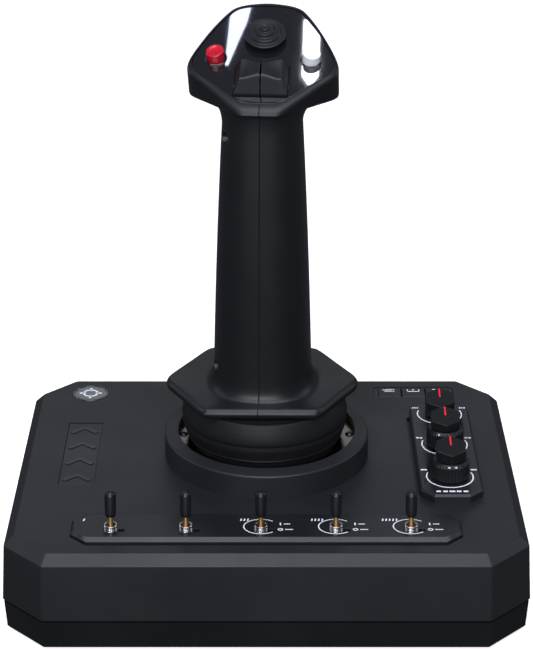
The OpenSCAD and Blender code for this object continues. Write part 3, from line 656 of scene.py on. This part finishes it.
FOOT_Z, FOOT_HALF = 47.5, 21.9
NECK_Z, NECK_HALF = 160, 17.5
SQUARENESS = 2.4
DEEPER = 1.04
BORE = 18.5


def column_half(z):
    """Half the column's width at a height: it narrows upwards, with a slight belly."""
    k = (z - FOOT_Z) / (NECK_Z - FOOT_Z)
    return FOOT_HALF + (NECK_HALF - FOOT_HALF) * k + 1.6 * k * (1 - k)


def oval(half, depth, z):
    """A ring between an ellipse and a rectangle."""
    ring = []
    for i in range(SIDES):
        a = -math.pi / 2 + 2 * math.pi * i / SIDES
        reach = abs(math.cos(a) / half) ** SQUARENESS + abs(math.sin(a) / depth) ** SQUARENESS
        r = reach ** (-1 / SQUARENESS)
        ring.append((r * math.cos(a), r * math.sin(a), z))
    return ring


def column(z, inset=0.0):
    half = column_half(z)
    return oval(half - inset, half * DEEPER - inset, z)


def rest_outline():
    """The hand rest's outline about its own centre, then seen from the grip's axis."""
    points = [Vector((x - 0.3, y + REST_BACK)) for x, y in polar(REST, 720)]
    return at_even_angles([Matrix.Rotation(REST_TURN, 2) @ p for p in points], SIDES)


REST_LINE = rest_outline()
HEAD_LINE = polar(HEAD, SIDES)
PLATE_LINE = polar(PLATE, SIDES)


def rest_ring(inset, z):
    return [(x, y, z) for x, y in grown(REST_LINE, -inset)]


def blended(a, b, k):
    """The ring a share k of the way from ring a to ring b."""
    return [tuple(p[i] + (q[i] - p[i]) * k for i in range(3)) for p, q in zip(a, b)]


def on_face(u, v, w):
    """A point of the tilted face's frame, in the grip's frame."""
    return (u, v * math.cos(TILT) - w * math.sin(TILT), FACE_Z + v * math.sin(TILT) + w * math.cos(TILT))


def belly_depth(v):
    """Depth of the head below its face: level underneath, and as thick as its back allows behind."""
    level = (UNDER_Z - FACE_Z - v * math.sin(TILT)) / math.cos(TILT)
    back = -20.0
    return 0.5 * (level + back + math.sqrt((level - back) ** 2 + 6.0))


def face_ring(line, w):
    return [on_face(u, v, w) for u, v in line]


def belly_ring(line, up, most=-3.2):
    return [on_face(u, v, min(belly_depth(v) + up, most)) for u, v in line]


def rim(k):
    """The rim between the head's outline (k = 0) and the faceplate's (k = 1): a rounded shoulder."""
    turn = math.pi / 2 * k
    ring = []
    for (u0, v0), (u1, v1) in zip(HEAD_LINE, grown(PLATE_LINE, 0.15)):
        mix = 1 - math.cos(turn)
        width = math.hypot(u1 - u0, v1 - v0)
        drop = min(0.55 * width, 2.6)
        side = v0 + (v1 - v0) * mix
        low = belly_depth(side) + 1.6
        ring.append(on_face(u0 + (u1 - u0) * mix, side, max(-drop * (1 - math.sin(turn)), low)))
    return ring


def grip_rings():
    """The skin of the whole grip, from the hand rest's inner edge up the outside and back down the inside."""
    def ridge(reach, z):
        return oval(FOOT_HALF + reach, FOOT_HALF * DEEPER + 0.6 * reach, z)

    flat = rest_ring(2.1, 35.6)
    brow = ridge(4.3, 36.6)
    rings = [oval(BORE, BORE, 31.0), rest_ring(1.3, 31.0), rest_ring(0.5, 31.3), rest_ring(0.1, 32.0),
             rest_ring(0, 32.8), rest_ring(0, 33.4), rest_ring(0.3, 34.1), rest_ring(0.9, 34.9),
             rest_ring(1.5, 35.35), flat]
    rings += [blended(flat, brow, k) for k in (0.25, 0.5, 0.75, 0.92)]
    sweep = ((4.0, 36.72), (3.1, 37.15), (2.2, 37.85), (1.45, 38.8), (0.85, 40.1), (0.4, 41.8), (0.12, 44.2))
    rings += [ridge(reach, z) for reach, z in sweep]
    rings += [column(z) for z in (FOOT_Z, 50, 54, 60, 70, 80, 92, 106, 118, 130, 142, 151, 156.5)]
    neck = column(160.5)
    belly = belly_ring(grown(HEAD_LINE, -2.2), 0.0)
    rings.append(neck)
    for k, lift_to in ((0.03, 163.2), (0.10, 165.4), (0.22, 167.1), (0.42, 167.9)):
        rings.append([(x, y, lift_to if z < UNDER_Z else z) for x, y, z in blended(neck, belly, k)])
    rings.append([(x, y, max(z, UNDER_Z - 0.1)) for x, y, z in blended(neck, belly, 0.7)])
    rings.append(belly)
    rings += [belly_ring(grown(HEAD_LINE, -0.9), 0.35, -3.3), belly_ring(grown(HEAD_LINE, -0.25), 1.0, -3.1),
              belly_ring(HEAD_LINE, 2.0, -2.9)]
    rings += [rim(k) for k in (0.0, 0.15, 0.3, 0.45, 0.6, 0.75, 0.88, 0.97)]
    seat = grown(PLATE_LINE, 0.15)
    rings += [face_ring(seat, 0.0), face_ring(seat, -2.35), face_ring(grown(PLATE_LINE, -1.5), -2.35)]
    rings.append([on_face(u, v, max(-5.2, belly_depth(v) + 2.3)) for u, v in grown(PLATE_LINE, -2.0)])
    rings.append(oval(14.6, 14.8, 172.5))
    rings += [column(z, 2.9) for z in (160, 140, 120, 100, 80, 60, 52)]
    rings.append(oval(BORE, BORE, 45.0))
    return rings


def half_shape(rings, side):
    """One half of the grip as a closed shell, with a shallow groove along the parting line."""
    half = SIDES // 2
    first = 0 if side > 0 else half
    groove_depth, groove_width, gap = 0.16, 0.26, 0.05
    picked = []
    for ring in rings:
        points = [Vector(ring[(first + j) % SIDES]) for j in range(half + 1)]
        for end, near in ((0, 1), (-1, -2)):
            seam = points[end].copy()
            middle = Vector((0, 0, seam.z))
            pulled = seam + (middle - seam).normalized() * groove_depth
            lip = seam.lerp(points[near], min(groove_width / max((points[near] - seam).length, 1e-6), 0.6))
            points[end] = Vector((side * gap, pulled.y, pulled.z))
            if end == 0:
                points.insert(1, lip)
            else:
                points.insert(len(points) - 1, lip)
        picked.append([tuple(p) for p in points])
    n = len(picked[0])
    verts, faces = loft(picked + [picked[0]], False, False, False)
    faces.append(tuple(k * n for k in range(len(picked))))
    faces.append(tuple(k * n + n - 1 for k in range(len(picked) - 1, -1, -1)))
    return verts, faces


SCREW_PLACES = [(-10.7, 155.5), (10.7, 155.5), (-10.7, 48.0), (10.7, 48.0)]
SIDEWAYS = Matrix.Rotation(math.pi / 2, 4, "Y")
SCREW_SEAT = -9.85


def make_grip():
    rings = grip_rings()
    for side, name, node in ((-1, "grip_half_left", "grip_left"), (1, "grip_half_right", "grip_right")):
        obj = piece(name, "grip", "grip_plastic", half_shape(rings, side), GRIP, [node], 38)
        if side < 0:
            cups = []
            for y, z in SCREW_PLACES:
                spot = Matrix.Translation((-8.0, y, z)) @ SIDEWAYS
                cup = lathe([(0, 0), (2.6, 0), (2.6, -30), (0, -30)], 40)
                cups.append(moved(cup, spot))
            carve(obj, *cups, at=GRIP, crease=38)
    screws = []
    for y, z in SCREW_PLACES:
        spot = Matrix.Translation((SCREW_SEAT, y, z)) @ SIDEWAYS
        head = lathe(fillet([(0, 0.1), (1.0, 0.1), (1.0, 0.0), (2.3, 0.0, 0.4), (2.3, 1.8), (1.2, 1.8),
                             (1.2, 15.6), (0, 15.6)], 2), 32)
        screws.append(moved(head, spot))
    fixings = piece("grip_half_screws", "grip", "steel", join(*screws), GRIP, ["grip_screws"])
    sockets = []
    for y, z in SCREW_PLACES:
        spot = Matrix.Translation((SCREW_SEAT, y, z)) @ SIDEWAYS
        sockets.append(moved(prism(disc_outline(1.1, count=6), -1, 1.1), spot))
    carve(fixings, *sockets, at=GRIP)


make_grip()


# ---------------------------------------------------------------- head

HAT_V = 18.7
# Across and up the face, and the radius
BUTTON = (20.5, 6.4, 3.85)
ROCKER_V = -7.0


def make_faceplate():
    plate = piece("faceplate", "grip", "face_gloss", prism(PLATE_LINE, -2.2, -0.3, 0.25), FACE,
                  ["head_faceplate"])
    opening = fillet([(11.8, -16.6, 0.8), (11.8, 2.6, 0.8), (-11.8, 2.6, 0.8), (-11.8, -16.6, 0.8)], 4)
    carve(plate, prism(opening, -4, 2), rod(4.6, -4, 2, (0, HAT_V), 48),
          *[rod(BUTTON[2] + 0.3, -4, 2, (s * BUTTON[0], BUTTON[1]), 48) for s in (-1, 1)], at=FACE)
    r = BUTTON[2]
    trim = lathe(fillet([(r + 0.35, -0.3), (r + 1.0, -0.3), (r + 0.9, 0.15, 0.15),
                         (r + 0.35, 0.25, 0.15)], 2), 64)
    rings = [shifted(trim, s * BUTTON[0], BUTTON[1]) for s in (-1, 1)]
    piece("button_trim", "grip", "face_gloss", join(*rings), FACE, ["button_rings"])


def make_buttons():
    """Dished caps that lean outwards a little."""
    r = BUTTON[2]
    profile = fillet([(0, 3.55), (1.6, 3.6), (2.7, 3.85, 0.5), (3.05, 4.2, 0.25), (r, 4.15, 0.5), (r, -0.3),
                      (r, -3.2), (r + 1, -3.2), (r + 1, -4.0), (0, -4.0)], 4)
    lean = math.tan(math.radians(9))
    for side, name, node, finish in ((-1, "push_button_red", "red_button", "red_plastic"),
                                     (1, "push_button_white", "white_button", "white_plastic")):
        verts, faces = lathe(profile, 72)
        tipped = []
        for u, v, w in verts:
            rise = max(w + 0.3, 0) / 4.5
            tipped.append((u + side * lean * rise * rise * 2.2, v, w - side * u * lean * rise))
        piece(name, node, finish, shifted((tipped, faces), side * BUTTON[0], BUTTON[1]), FACE, [node])


def make_hat():
    profile = [(0, 6.55), (0.9, 6.65), (1.75, 6.95, 0.3), (2.0, 6.5, 0.3), (2.25, 5.55, 0.25), (3.1, 5.6),
               (3.9, 5.85, 0.35), (4.15, 5.3, 0.3), (4.5, 4.35, 0.3), (5.6, 4.4), (6.4, 4.65, 0.35),
               (6.7, 4.1, 0.3), (7.1, 3.2, 0.3), (8.2, 3.25), (8.85, 3.4, 0.4), (9.15, 2.9, 0.3),
               (8.9, 2.35, 0.25), (6.5, 1.95),
               (2.4, 1.7, 0.4), (2.4, -5.8), (0, -5.8)]
    cap = lathe(fillet(profile, 3), 120)
    pin = moved(lathe([(0, -5.2), (0.5, -5.2), (0.5, 5.2), (0, 5.2)], 16),
                Matrix.Translation((0, 0, -4.6)) @ Matrix.Rotation(math.pi / 2, 4, "X"))
    piece("hat_switch_cap", "hat", "control_plastic", shifted(join(cap, pin), 0, HAT_V), FACE, ["hat_cap"], 45)


ROCKER_STEPS = 14


def rocker_ring(k, inset=0.0, drop=0.0):
    """A rocker's outline from its foot (k = 0) to its crown (k = 1). The front wall is flat; the crown climbs
    to the middle in front and is scalloped behind."""
    front, back = [], []
    for i in range(ROCKER_STEPS + 1):
        s = i / ROCKER_STEPS
        dip = (1 - math.cos(math.pi * s)) / 2
        u = (11.5 - 2.6 * min(k + 0.10 * math.sin(math.pi * k), 1)) * (1 - s) + 0.3 * s
        w = 0.2 + (6.3 + 1.7 * dip) * k
        front.append((u, -15.8 + 0.57 * (w - 0.2), w))
        back.append((u, 2.0 - (2.6 + 3.3 * dip) * k, 0.2 + (6.8 + 0.9 * dip) * k))
    ring = front[::-1] + back
    pulled = grown([p[:2] for p in ring], -inset)
    return [(u, v, w - drop) for (u, v), (_, _, w) in zip(pulled, ring)]


def make_rockers():
    foot = [(u, v, -2.1) for u, v, w in rocker_ring(0)]
    rings = [foot] + [rocker_ring(k) for k in np.linspace(0, 0.94, 10)]
    for k in range(1, 5):
        a = math.pi / 2 * k / 4
        rings.append(rocker_ring(1, 0.42 * (1 - math.cos(a)), 0.42 * (1 - math.sin(a))))
    n = ROCKER_STEPS + 1
    verts, faces = loft(rings, end=False)
    crown = rings[-1]
    rows = 6
    base = len(verts)
    for j in range(rows + 1):
        t = j / rows
        for i in range(n):
            a, b = Vector(crown[n - 1 - i]), Vector(crown[n + i])
            p = a.lerp(b, t)
            dish = 0.5 * math.sin(math.pi * t) * math.sin(math.pi * min(i / n + 0.2, 1))
            verts.append((p.x, p.y, p.z - dish))
    for j in range(rows):
        for i in range(n - 1):
            q = base + j * n + i
            faces.append((q, q + 1, q + n + 1, q + n))
    for end in (0, n - 1):
        faces.append(tuple(base + j * n + end for j in range(rows + 1)))
    for side, name, node in ((-1, "trim_rocker_left", "rocker_left"), (1, "trim_rocker_right", "rocker_right")):
        cap = [(side * u, v, w) for u, v, w in verts], faces
        block = prism(box_outline(5.3, 4.0, 0, (side * 5.6, ROCKER_V)), -5.9, -1.9)
        piece(name, node, "control_plastic", join(cap, block), FACE, [node], 34)


make_faceplate()
make_buttons()
make_hat()
make_rockers()


# ---------------------------------------------------------------- toggles

def strip_top(x, y):
    """Height of the toggle strip's top, which rises towards the front."""
    return TOP + 0.15 + 2.05 * (STRIP[2] - y) / (STRIP[2] - STRIP[1])


def make_toggles():
    hw, front, back = STRIP
    outline = octagon(hw, (back - front) / 2, STRIP_CUT, at=(0, (back + front) / 2))
    bevel = 1.7
    bottom, middle, upper = [], [], []
    for (x, y), (inner_x, inner_y) in zip(outline, grown(outline, -bevel)):
        share = 0.2 + 0.8 * (back - y) / (back - front)
        to_x, to_y = x + (inner_x - x) * share, y + (inner_y - y) * share
        bottom.append((x, y, TOP - 1.15))
        middle.append((x, y, strip_top(x, y) - bevel * share))
        upper.append((to_x, to_y, strip_top(to_x, to_y)))
    strip = piece("toggle_strip", "base", "panel_plastic", loft([bottom, middle, upper]),
                  replaces=["toggle_panel"])
    carve(strip, *[rod(TOGGLE_HOLE, TOP - 3, TOP + 6, (x, TOGGLE_Y)) for x in TOGGLE_X])
    carve(strip, *[rod(1.7, TOP - 3, TOP + 6, (x + 4.5, TOGGLE_Y - 0.6), 24) for x in TOGGLE_X])
    soften(strip, 0.25)
    pivot = strip_top(0, TOGGLE_Y) + 0.3
    rise = pivot + 2.4
    pitch = 0.75
    low = TOP - 2.95
    rows = []
    turns = [2 * math.pi * i / 48 for i in range(48)]
    for z in np.arange(low, rise - 0.3, pitch / 6):
        row = []
        for a in turns:
            phase = (z / pitch - a / (2 * math.pi)) % 1
            r = 3.0 - 0.30 * abs(2 * phase - 1) * (z < rise - 0.75)
            row.append((r * math.cos(a), r * math.sin(a), z))
        rows.append(row)
    for r, z in ((3.0, rise - 0.28), (2.75, rise), (2.4, rise), (2.27, rise - 0.2), (2.25, pivot - 2.6)):
        rows.append([(r * math.cos(a), r * math.sin(a), z) for a in turns])
    bushing = loft(rows)
    bushings = piece("threaded_bushings", "base", "bright_steel",
                     join(*[shifted(bushing, x, TOGGLE_Y) for x in TOGGLE_X]), replaces=["toggle_bushings"])
    keyways = [box_outline(0.6, 0.6, 0.1, (x, TOGGLE_Y + 3.2)) for x in TOGGLE_X]
    carve(bushings, *[prism(keyway, low - 1, rise + 1) for keyway in keyways])
    seat = lathe(fillet([(2.24, pivot - 2.5), (2.24, rise - 0.5, 0.2), (2.0, rise - 0.9),
                         (1.85, pivot - 2.5)], 2), 40)
    piece("bushing_seats", "base", "bronze", join(*[shifted(seat, x, TOGGLE_Y) for x in TOGGLE_X]))
    sleeve = lathe(fillet([(0, 5.6), (2.0, 5.6, 0.3), (2.3, 6.6, 0.4), (2.45, 8.5), (2.45, 14.6), (2.33, 15.5),
                           (1.95, 16.3), (1.3, 16.8), (0.6, 17.02), (0, 17.05)], 3), 40)
    shaft = lathe(fillet([(0, -2.1), (0.9, -1.9), (1.4, -1.3), (1.7, -0.4), (1.6, 0.5), (1.3, 1.2), (1.12, 1.7),
                          (1.1, 6.2), (0, 6.2)], 2), 32)
    lean = Matrix.Rotation(math.radians(-12), 4, "X")
    for i, x in enumerate(TOGGLE_X):
        spot = Matrix.Translation((x, TOGGLE_Y, pivot)) @ lean
        node = f"toggle_lever_{i + 1}"
        body = f"toggle_{i + 1}"
        piece(f"toggle_shaft_{i + 1}", body, "bronze", shaft, spot, [node])
        piece(f"toggle_sleeve_{i + 1}", body, "knob_plastic", sleeve, spot, [node], 40)


def make_toggle_marks():
    shapes = []
    low, high = -0.03, 0.05

    def mark(path, width):
        shapes.append(ribbon(path, width, low, high, strip_top))

    middle = TOGGLE_Y + 3.3
    for i, x in enumerate(TOGGLE_X):
        if i >= 2:
            mark(arc(7.4, 47, 313, (x, middle), 64), 0.5)
            mark([(x + 8.4, middle + 1.4), (x + 8.4, middle + 3.8)], 0.6)
            mark([(x + 9.8, middle + 2.6), (x + 12.6, middle + 2.6)], 0.6)
            mark(arc(0.95, 0, 360, (x + 8.4, middle - 3.0), 28), 0.5)
            mark([(x + 10.4, middle - 3.0), (x + 13.8, middle - 3.0)], 0.6)
        if i != 1:
            for k in range(i + 1):
                left = x - (12.4 if i == 0 else 5.8) - 1.5 * k
                mark([(left, middle + 5.8), (left + 0.3, middle + 8.0)], 0.6)
    piece("toggle_marks", "base", "white_print", join(*shapes))


make_toggles()
make_toggle_marks()


# ---------------------------------------------------------------- knobs

def make_knobs():
    pad = octagon(*PAD, 0.8, (KNOB_X, PAD_Y))
    plate = piece("knob_plate", "base", "panel_plastic", prism(pad, TOP + 0.02, PAD_TOP, 0.9, steps=1),
                  replaces=["knob_panel"])
    carve(plate, *[rod(KNOB_HOLE, TOP - 3, PAD_TOP + 3, (KNOB_X, y)) for y in KNOB_Y])
    hexagon = [(math.cos(math.radians(a)), math.sin(math.radians(a))) for a in range(30, 390, 60)]
    encoder_z = TOP - 11
    for i, y in enumerate(KNOB_Y):
        low = PAD_TOP + (0.4 if i == 2 else 9.5)
        middle = PAD_TOP + (15.4, 14.6, 8.7)[i]

        def top(dx, dy, middle=middle):
            return middle + 0.19 * dy

        size = (13.4 if i == 2 else 13.0) / math.sqrt(3)
        outline = fillet([(c * size, s * size, 0.5) for c, s in hexagon], 3)
        cap = prism(outline, low, top, 0.45, 0.25)
        stem = lathe([(0, encoder_z + 4.4), (2.0, encoder_z + 4.4), (2.0, low + 1), (0, low + 1)], 32)
        body = f"knob_{i + 1}"
        piece(f"hex_knob_{i + 1}", body, "knob_plastic", shifted(join(cap, stem), KNOB_X, y), replaces=[body])
        pointer = prism(box_outline(0.38, 3.2, 0.3, (0, 3.7)), middle - 0.4,
                        lambda dx, dy, top=top: top(dx, dy) + 0.1, 0.08)
        piece(f"knob_pointer_{i + 1}", body, "red_print", shifted(pointer, KNOB_X, y))
        if i == 2:
            continue
        ring_low, ring_high = PAD_TOP + 0.4, PAD_TOP + 9.2
        profile = fillet([(2.04, ring_high), (6.3, ring_high), (7.2, ring_high, 0.4),
                          (8.45, ring_high - 1.5, 0.5), (8.5, ring_low + 0.9), (8.15, ring_low, 0.2),
                          (2.9, ring_low), (2.9, encoder_z + 4.4),
                          (2.04, encoder_z + 4.4)], 3)
        ring = knurled(profile, 40, ring_low + 1.0, ring_high - 1.7)
        name = f"outer_ring_{i + 1}"
        piece(f"knurled_ring_{i + 1}", name, "knob_plastic", shifted(ring, KNOB_X, y), replaces=[name],
              crease=40)
        dots = [rod(0.55, ring_high - 0.9, ring_high - 0.55, (7.8 * math.cos(a), 7.8 * math.sin(a)), 20)
                for a in (np.radians([262, 284]) if i == 0 else np.radians([245]))]
        piece(f"ring_dots_{i + 1}", name, "white_print", shifted(join(*dots), KNOB_X, y))


def knurled(profile, ridges, low, high):
    """A lathe whose wall between two heights is cut into ridges."""
    wave = [0.0, 0.0, 0.16, 0.34, 0.34, 0.16]
    per = len(wave)
    fine = []
    for (r0, z0), (r1, z1) in zip(profile, profile[1:] + profile[:1]):
        count = 8 if abs(z1 - z0) > 3 and min(r0, r1) > 8 else 1
        fine += [(r0 + (r1 - r0) * k / count, z0 + (z1 - z0) * k / count) for k in range(count)]
    rings = []
    for i in range(ridges * per):
        a = 2 * math.pi * i / (ridges * per)
        ring = []
        for r, z in fine:
            cut = wave[i % per] if r > 8.1 and low - 0.6 <= z <= high + 0.6 else 0.0
            ring.append(((r - cut) * math.cos(a), (r - cut) * math.sin(a), z))
        rings.append(ring)
    rings.append(rings[0])
    return loft(rings, start=False, end=False)


def make_knob_marks():
    shapes = []
    low, high = PAD_TOP - 0.03, PAD_TOP + 0.05
    for i, y in enumerate(KNOB_Y):
        shapes.append(ribbon(arc(10.4, 158, 382, (KNOB_X, y), 72), 0.6, low, high))
        for side in (-1, 1):
            x = KNOB_X + side * 11.2
            length = 3.2 / (i + 1) - 0.4
            for k in range(i + 1):
                left = x - 1.6 + 3.2 * k / (i + 1) + 0.2
                shapes.append(ribbon([(left, y + 6.6), (left + length, y + 6.6)], 1.1, low, high))
    front = KNOB_Y[0] - 13.9
    for k, half in ((-6, 1.0), (-3, 1.0), (0, 1.3), (3, 1.0), (6, 1.0)):
        shapes.append(ribbon([(KNOB_X + k - half, front), (KNOB_X + k + half, front)], 1.3, low, high))
    piece("knob_marks", "base", "white_print", join(*shapes))


make_knobs()
make_knob_marks()


# ---------------------------------------------------------------- keys, badge, chevrons

def make_keys():
    outline = octagon(19.35, 5.65, 2, 0.3, (KEY_X[1], KEY_Y))
    bezel = piece("key_frame", "base", "panel_plastic", prism(outline, TOP - 2.9, TOP - 0.3, 0.2),
                  replaces=["key_bezel"])
    carve(bezel, prism(box_outline(17.4, 4.55, 0.4, (KEY_X[1], KEY_Y)), TOP - 5, TOP + 2))
    icons = [
        [([(-2.6, -1.1), (2.2, -1.1), (2.2, 1.1), (-1.6, 1.1)], 0.5), ([(-3.4, 0.9), (-1.2, 0.0)], 0.7),
         ([(-1.0, 0.1), (1.2, 0.1)], 0.5)],
        [([(-2.8, 1.0), (-2.8, -1.2), (2.8, -1.2), (2.8, 1.0)], 0.6), ([(-0.5, 0.7), (0.5, 0.7)], 0.9)],
        [([(-2.2, 1.0), (2.4, 1.0)], 0.6), ([(-1.2, -0.8), (1.4, -0.8)], 0.6)],
    ]
    for i, x in enumerate(KEY_X):
        body = f"key_{i + 1}"
        top = TOP - 0.2
        outline = box_outline(5.6, 4.4, 0.5, (x, KEY_Y))
        piece(f"key_cap_{i + 1}", body, "knob_plastic", prism(outline, TOP - 5.2, top, 0.35), replaces=[body])
        strokes = [ribbon([(x + u, KEY_Y + 2.0 + v) for u, v in path], width, top - 0.03, top + 0.05)
                   for path, width in icons[i]]
        piece(f"key_icon_{i + 1}", body, "white_print", join(*strokes))


def make_badge():
    x, y = BADGE
    disc = lathe(fillet([(0, -0.95), (8.65, -0.95), (8.65, 0.2, 0.25), (7.95, 0.2, 0.2), (7.75, -0.1),
                         (7.4, 0.02, 0.15), (0, 0.06)], 3), 96)
    piece("badge_disc", "base", "badge_black", shifted(disc, x, y, TOP), replaces=["badge"])
    strokes = [ribbon(arc(3.4, 0, 360, (x, y), 48), 0.9, TOP + 0.03, TOP + 0.12)]
    for a in range(0, 360, 90):
        c, s = math.cos(math.radians(a)), math.sin(math.radians(a))
        arm = [(x + reach * c, y + reach * s) for reach in (2.4, 5.4)]
        strokes.append(ribbon(arm, 1.1, TOP + 0.03, TOP + 0.12))
    piece("badge_mark", "base", "white_print", join(*strokes))


def make_chevrons():
    x, y = CHEVRON
    insert = prism(box_outline(7.85, 31.35, 0.7, CHEVRON), TOP - 1.15, TOP - 0.42, 0.15)
    piece("chevron_insert", "base", "panel_plastic", insert, replaces=["chevron_panel"])
    arms = []
    for i in range(4):
        tip = y + 27.5 - 15.85 * i
        bend = [(x - 6.0, tip - 6.4), (x, tip - 1.2), (x + 6.0, tip - 6.4)]
        arms.append(ribbon(bend, 2.2, TOP - 0.45, TOP - 0.08))
    piece("chevrons", "base", "chevron_paint", join(*arms))


make_keys()
make_badge()
make_chevrons()

for obj in PIECES:
    weighting = obj.modifiers.new("normals", "WEIGHTED_NORMAL")
    weighting.keep_sharp = True
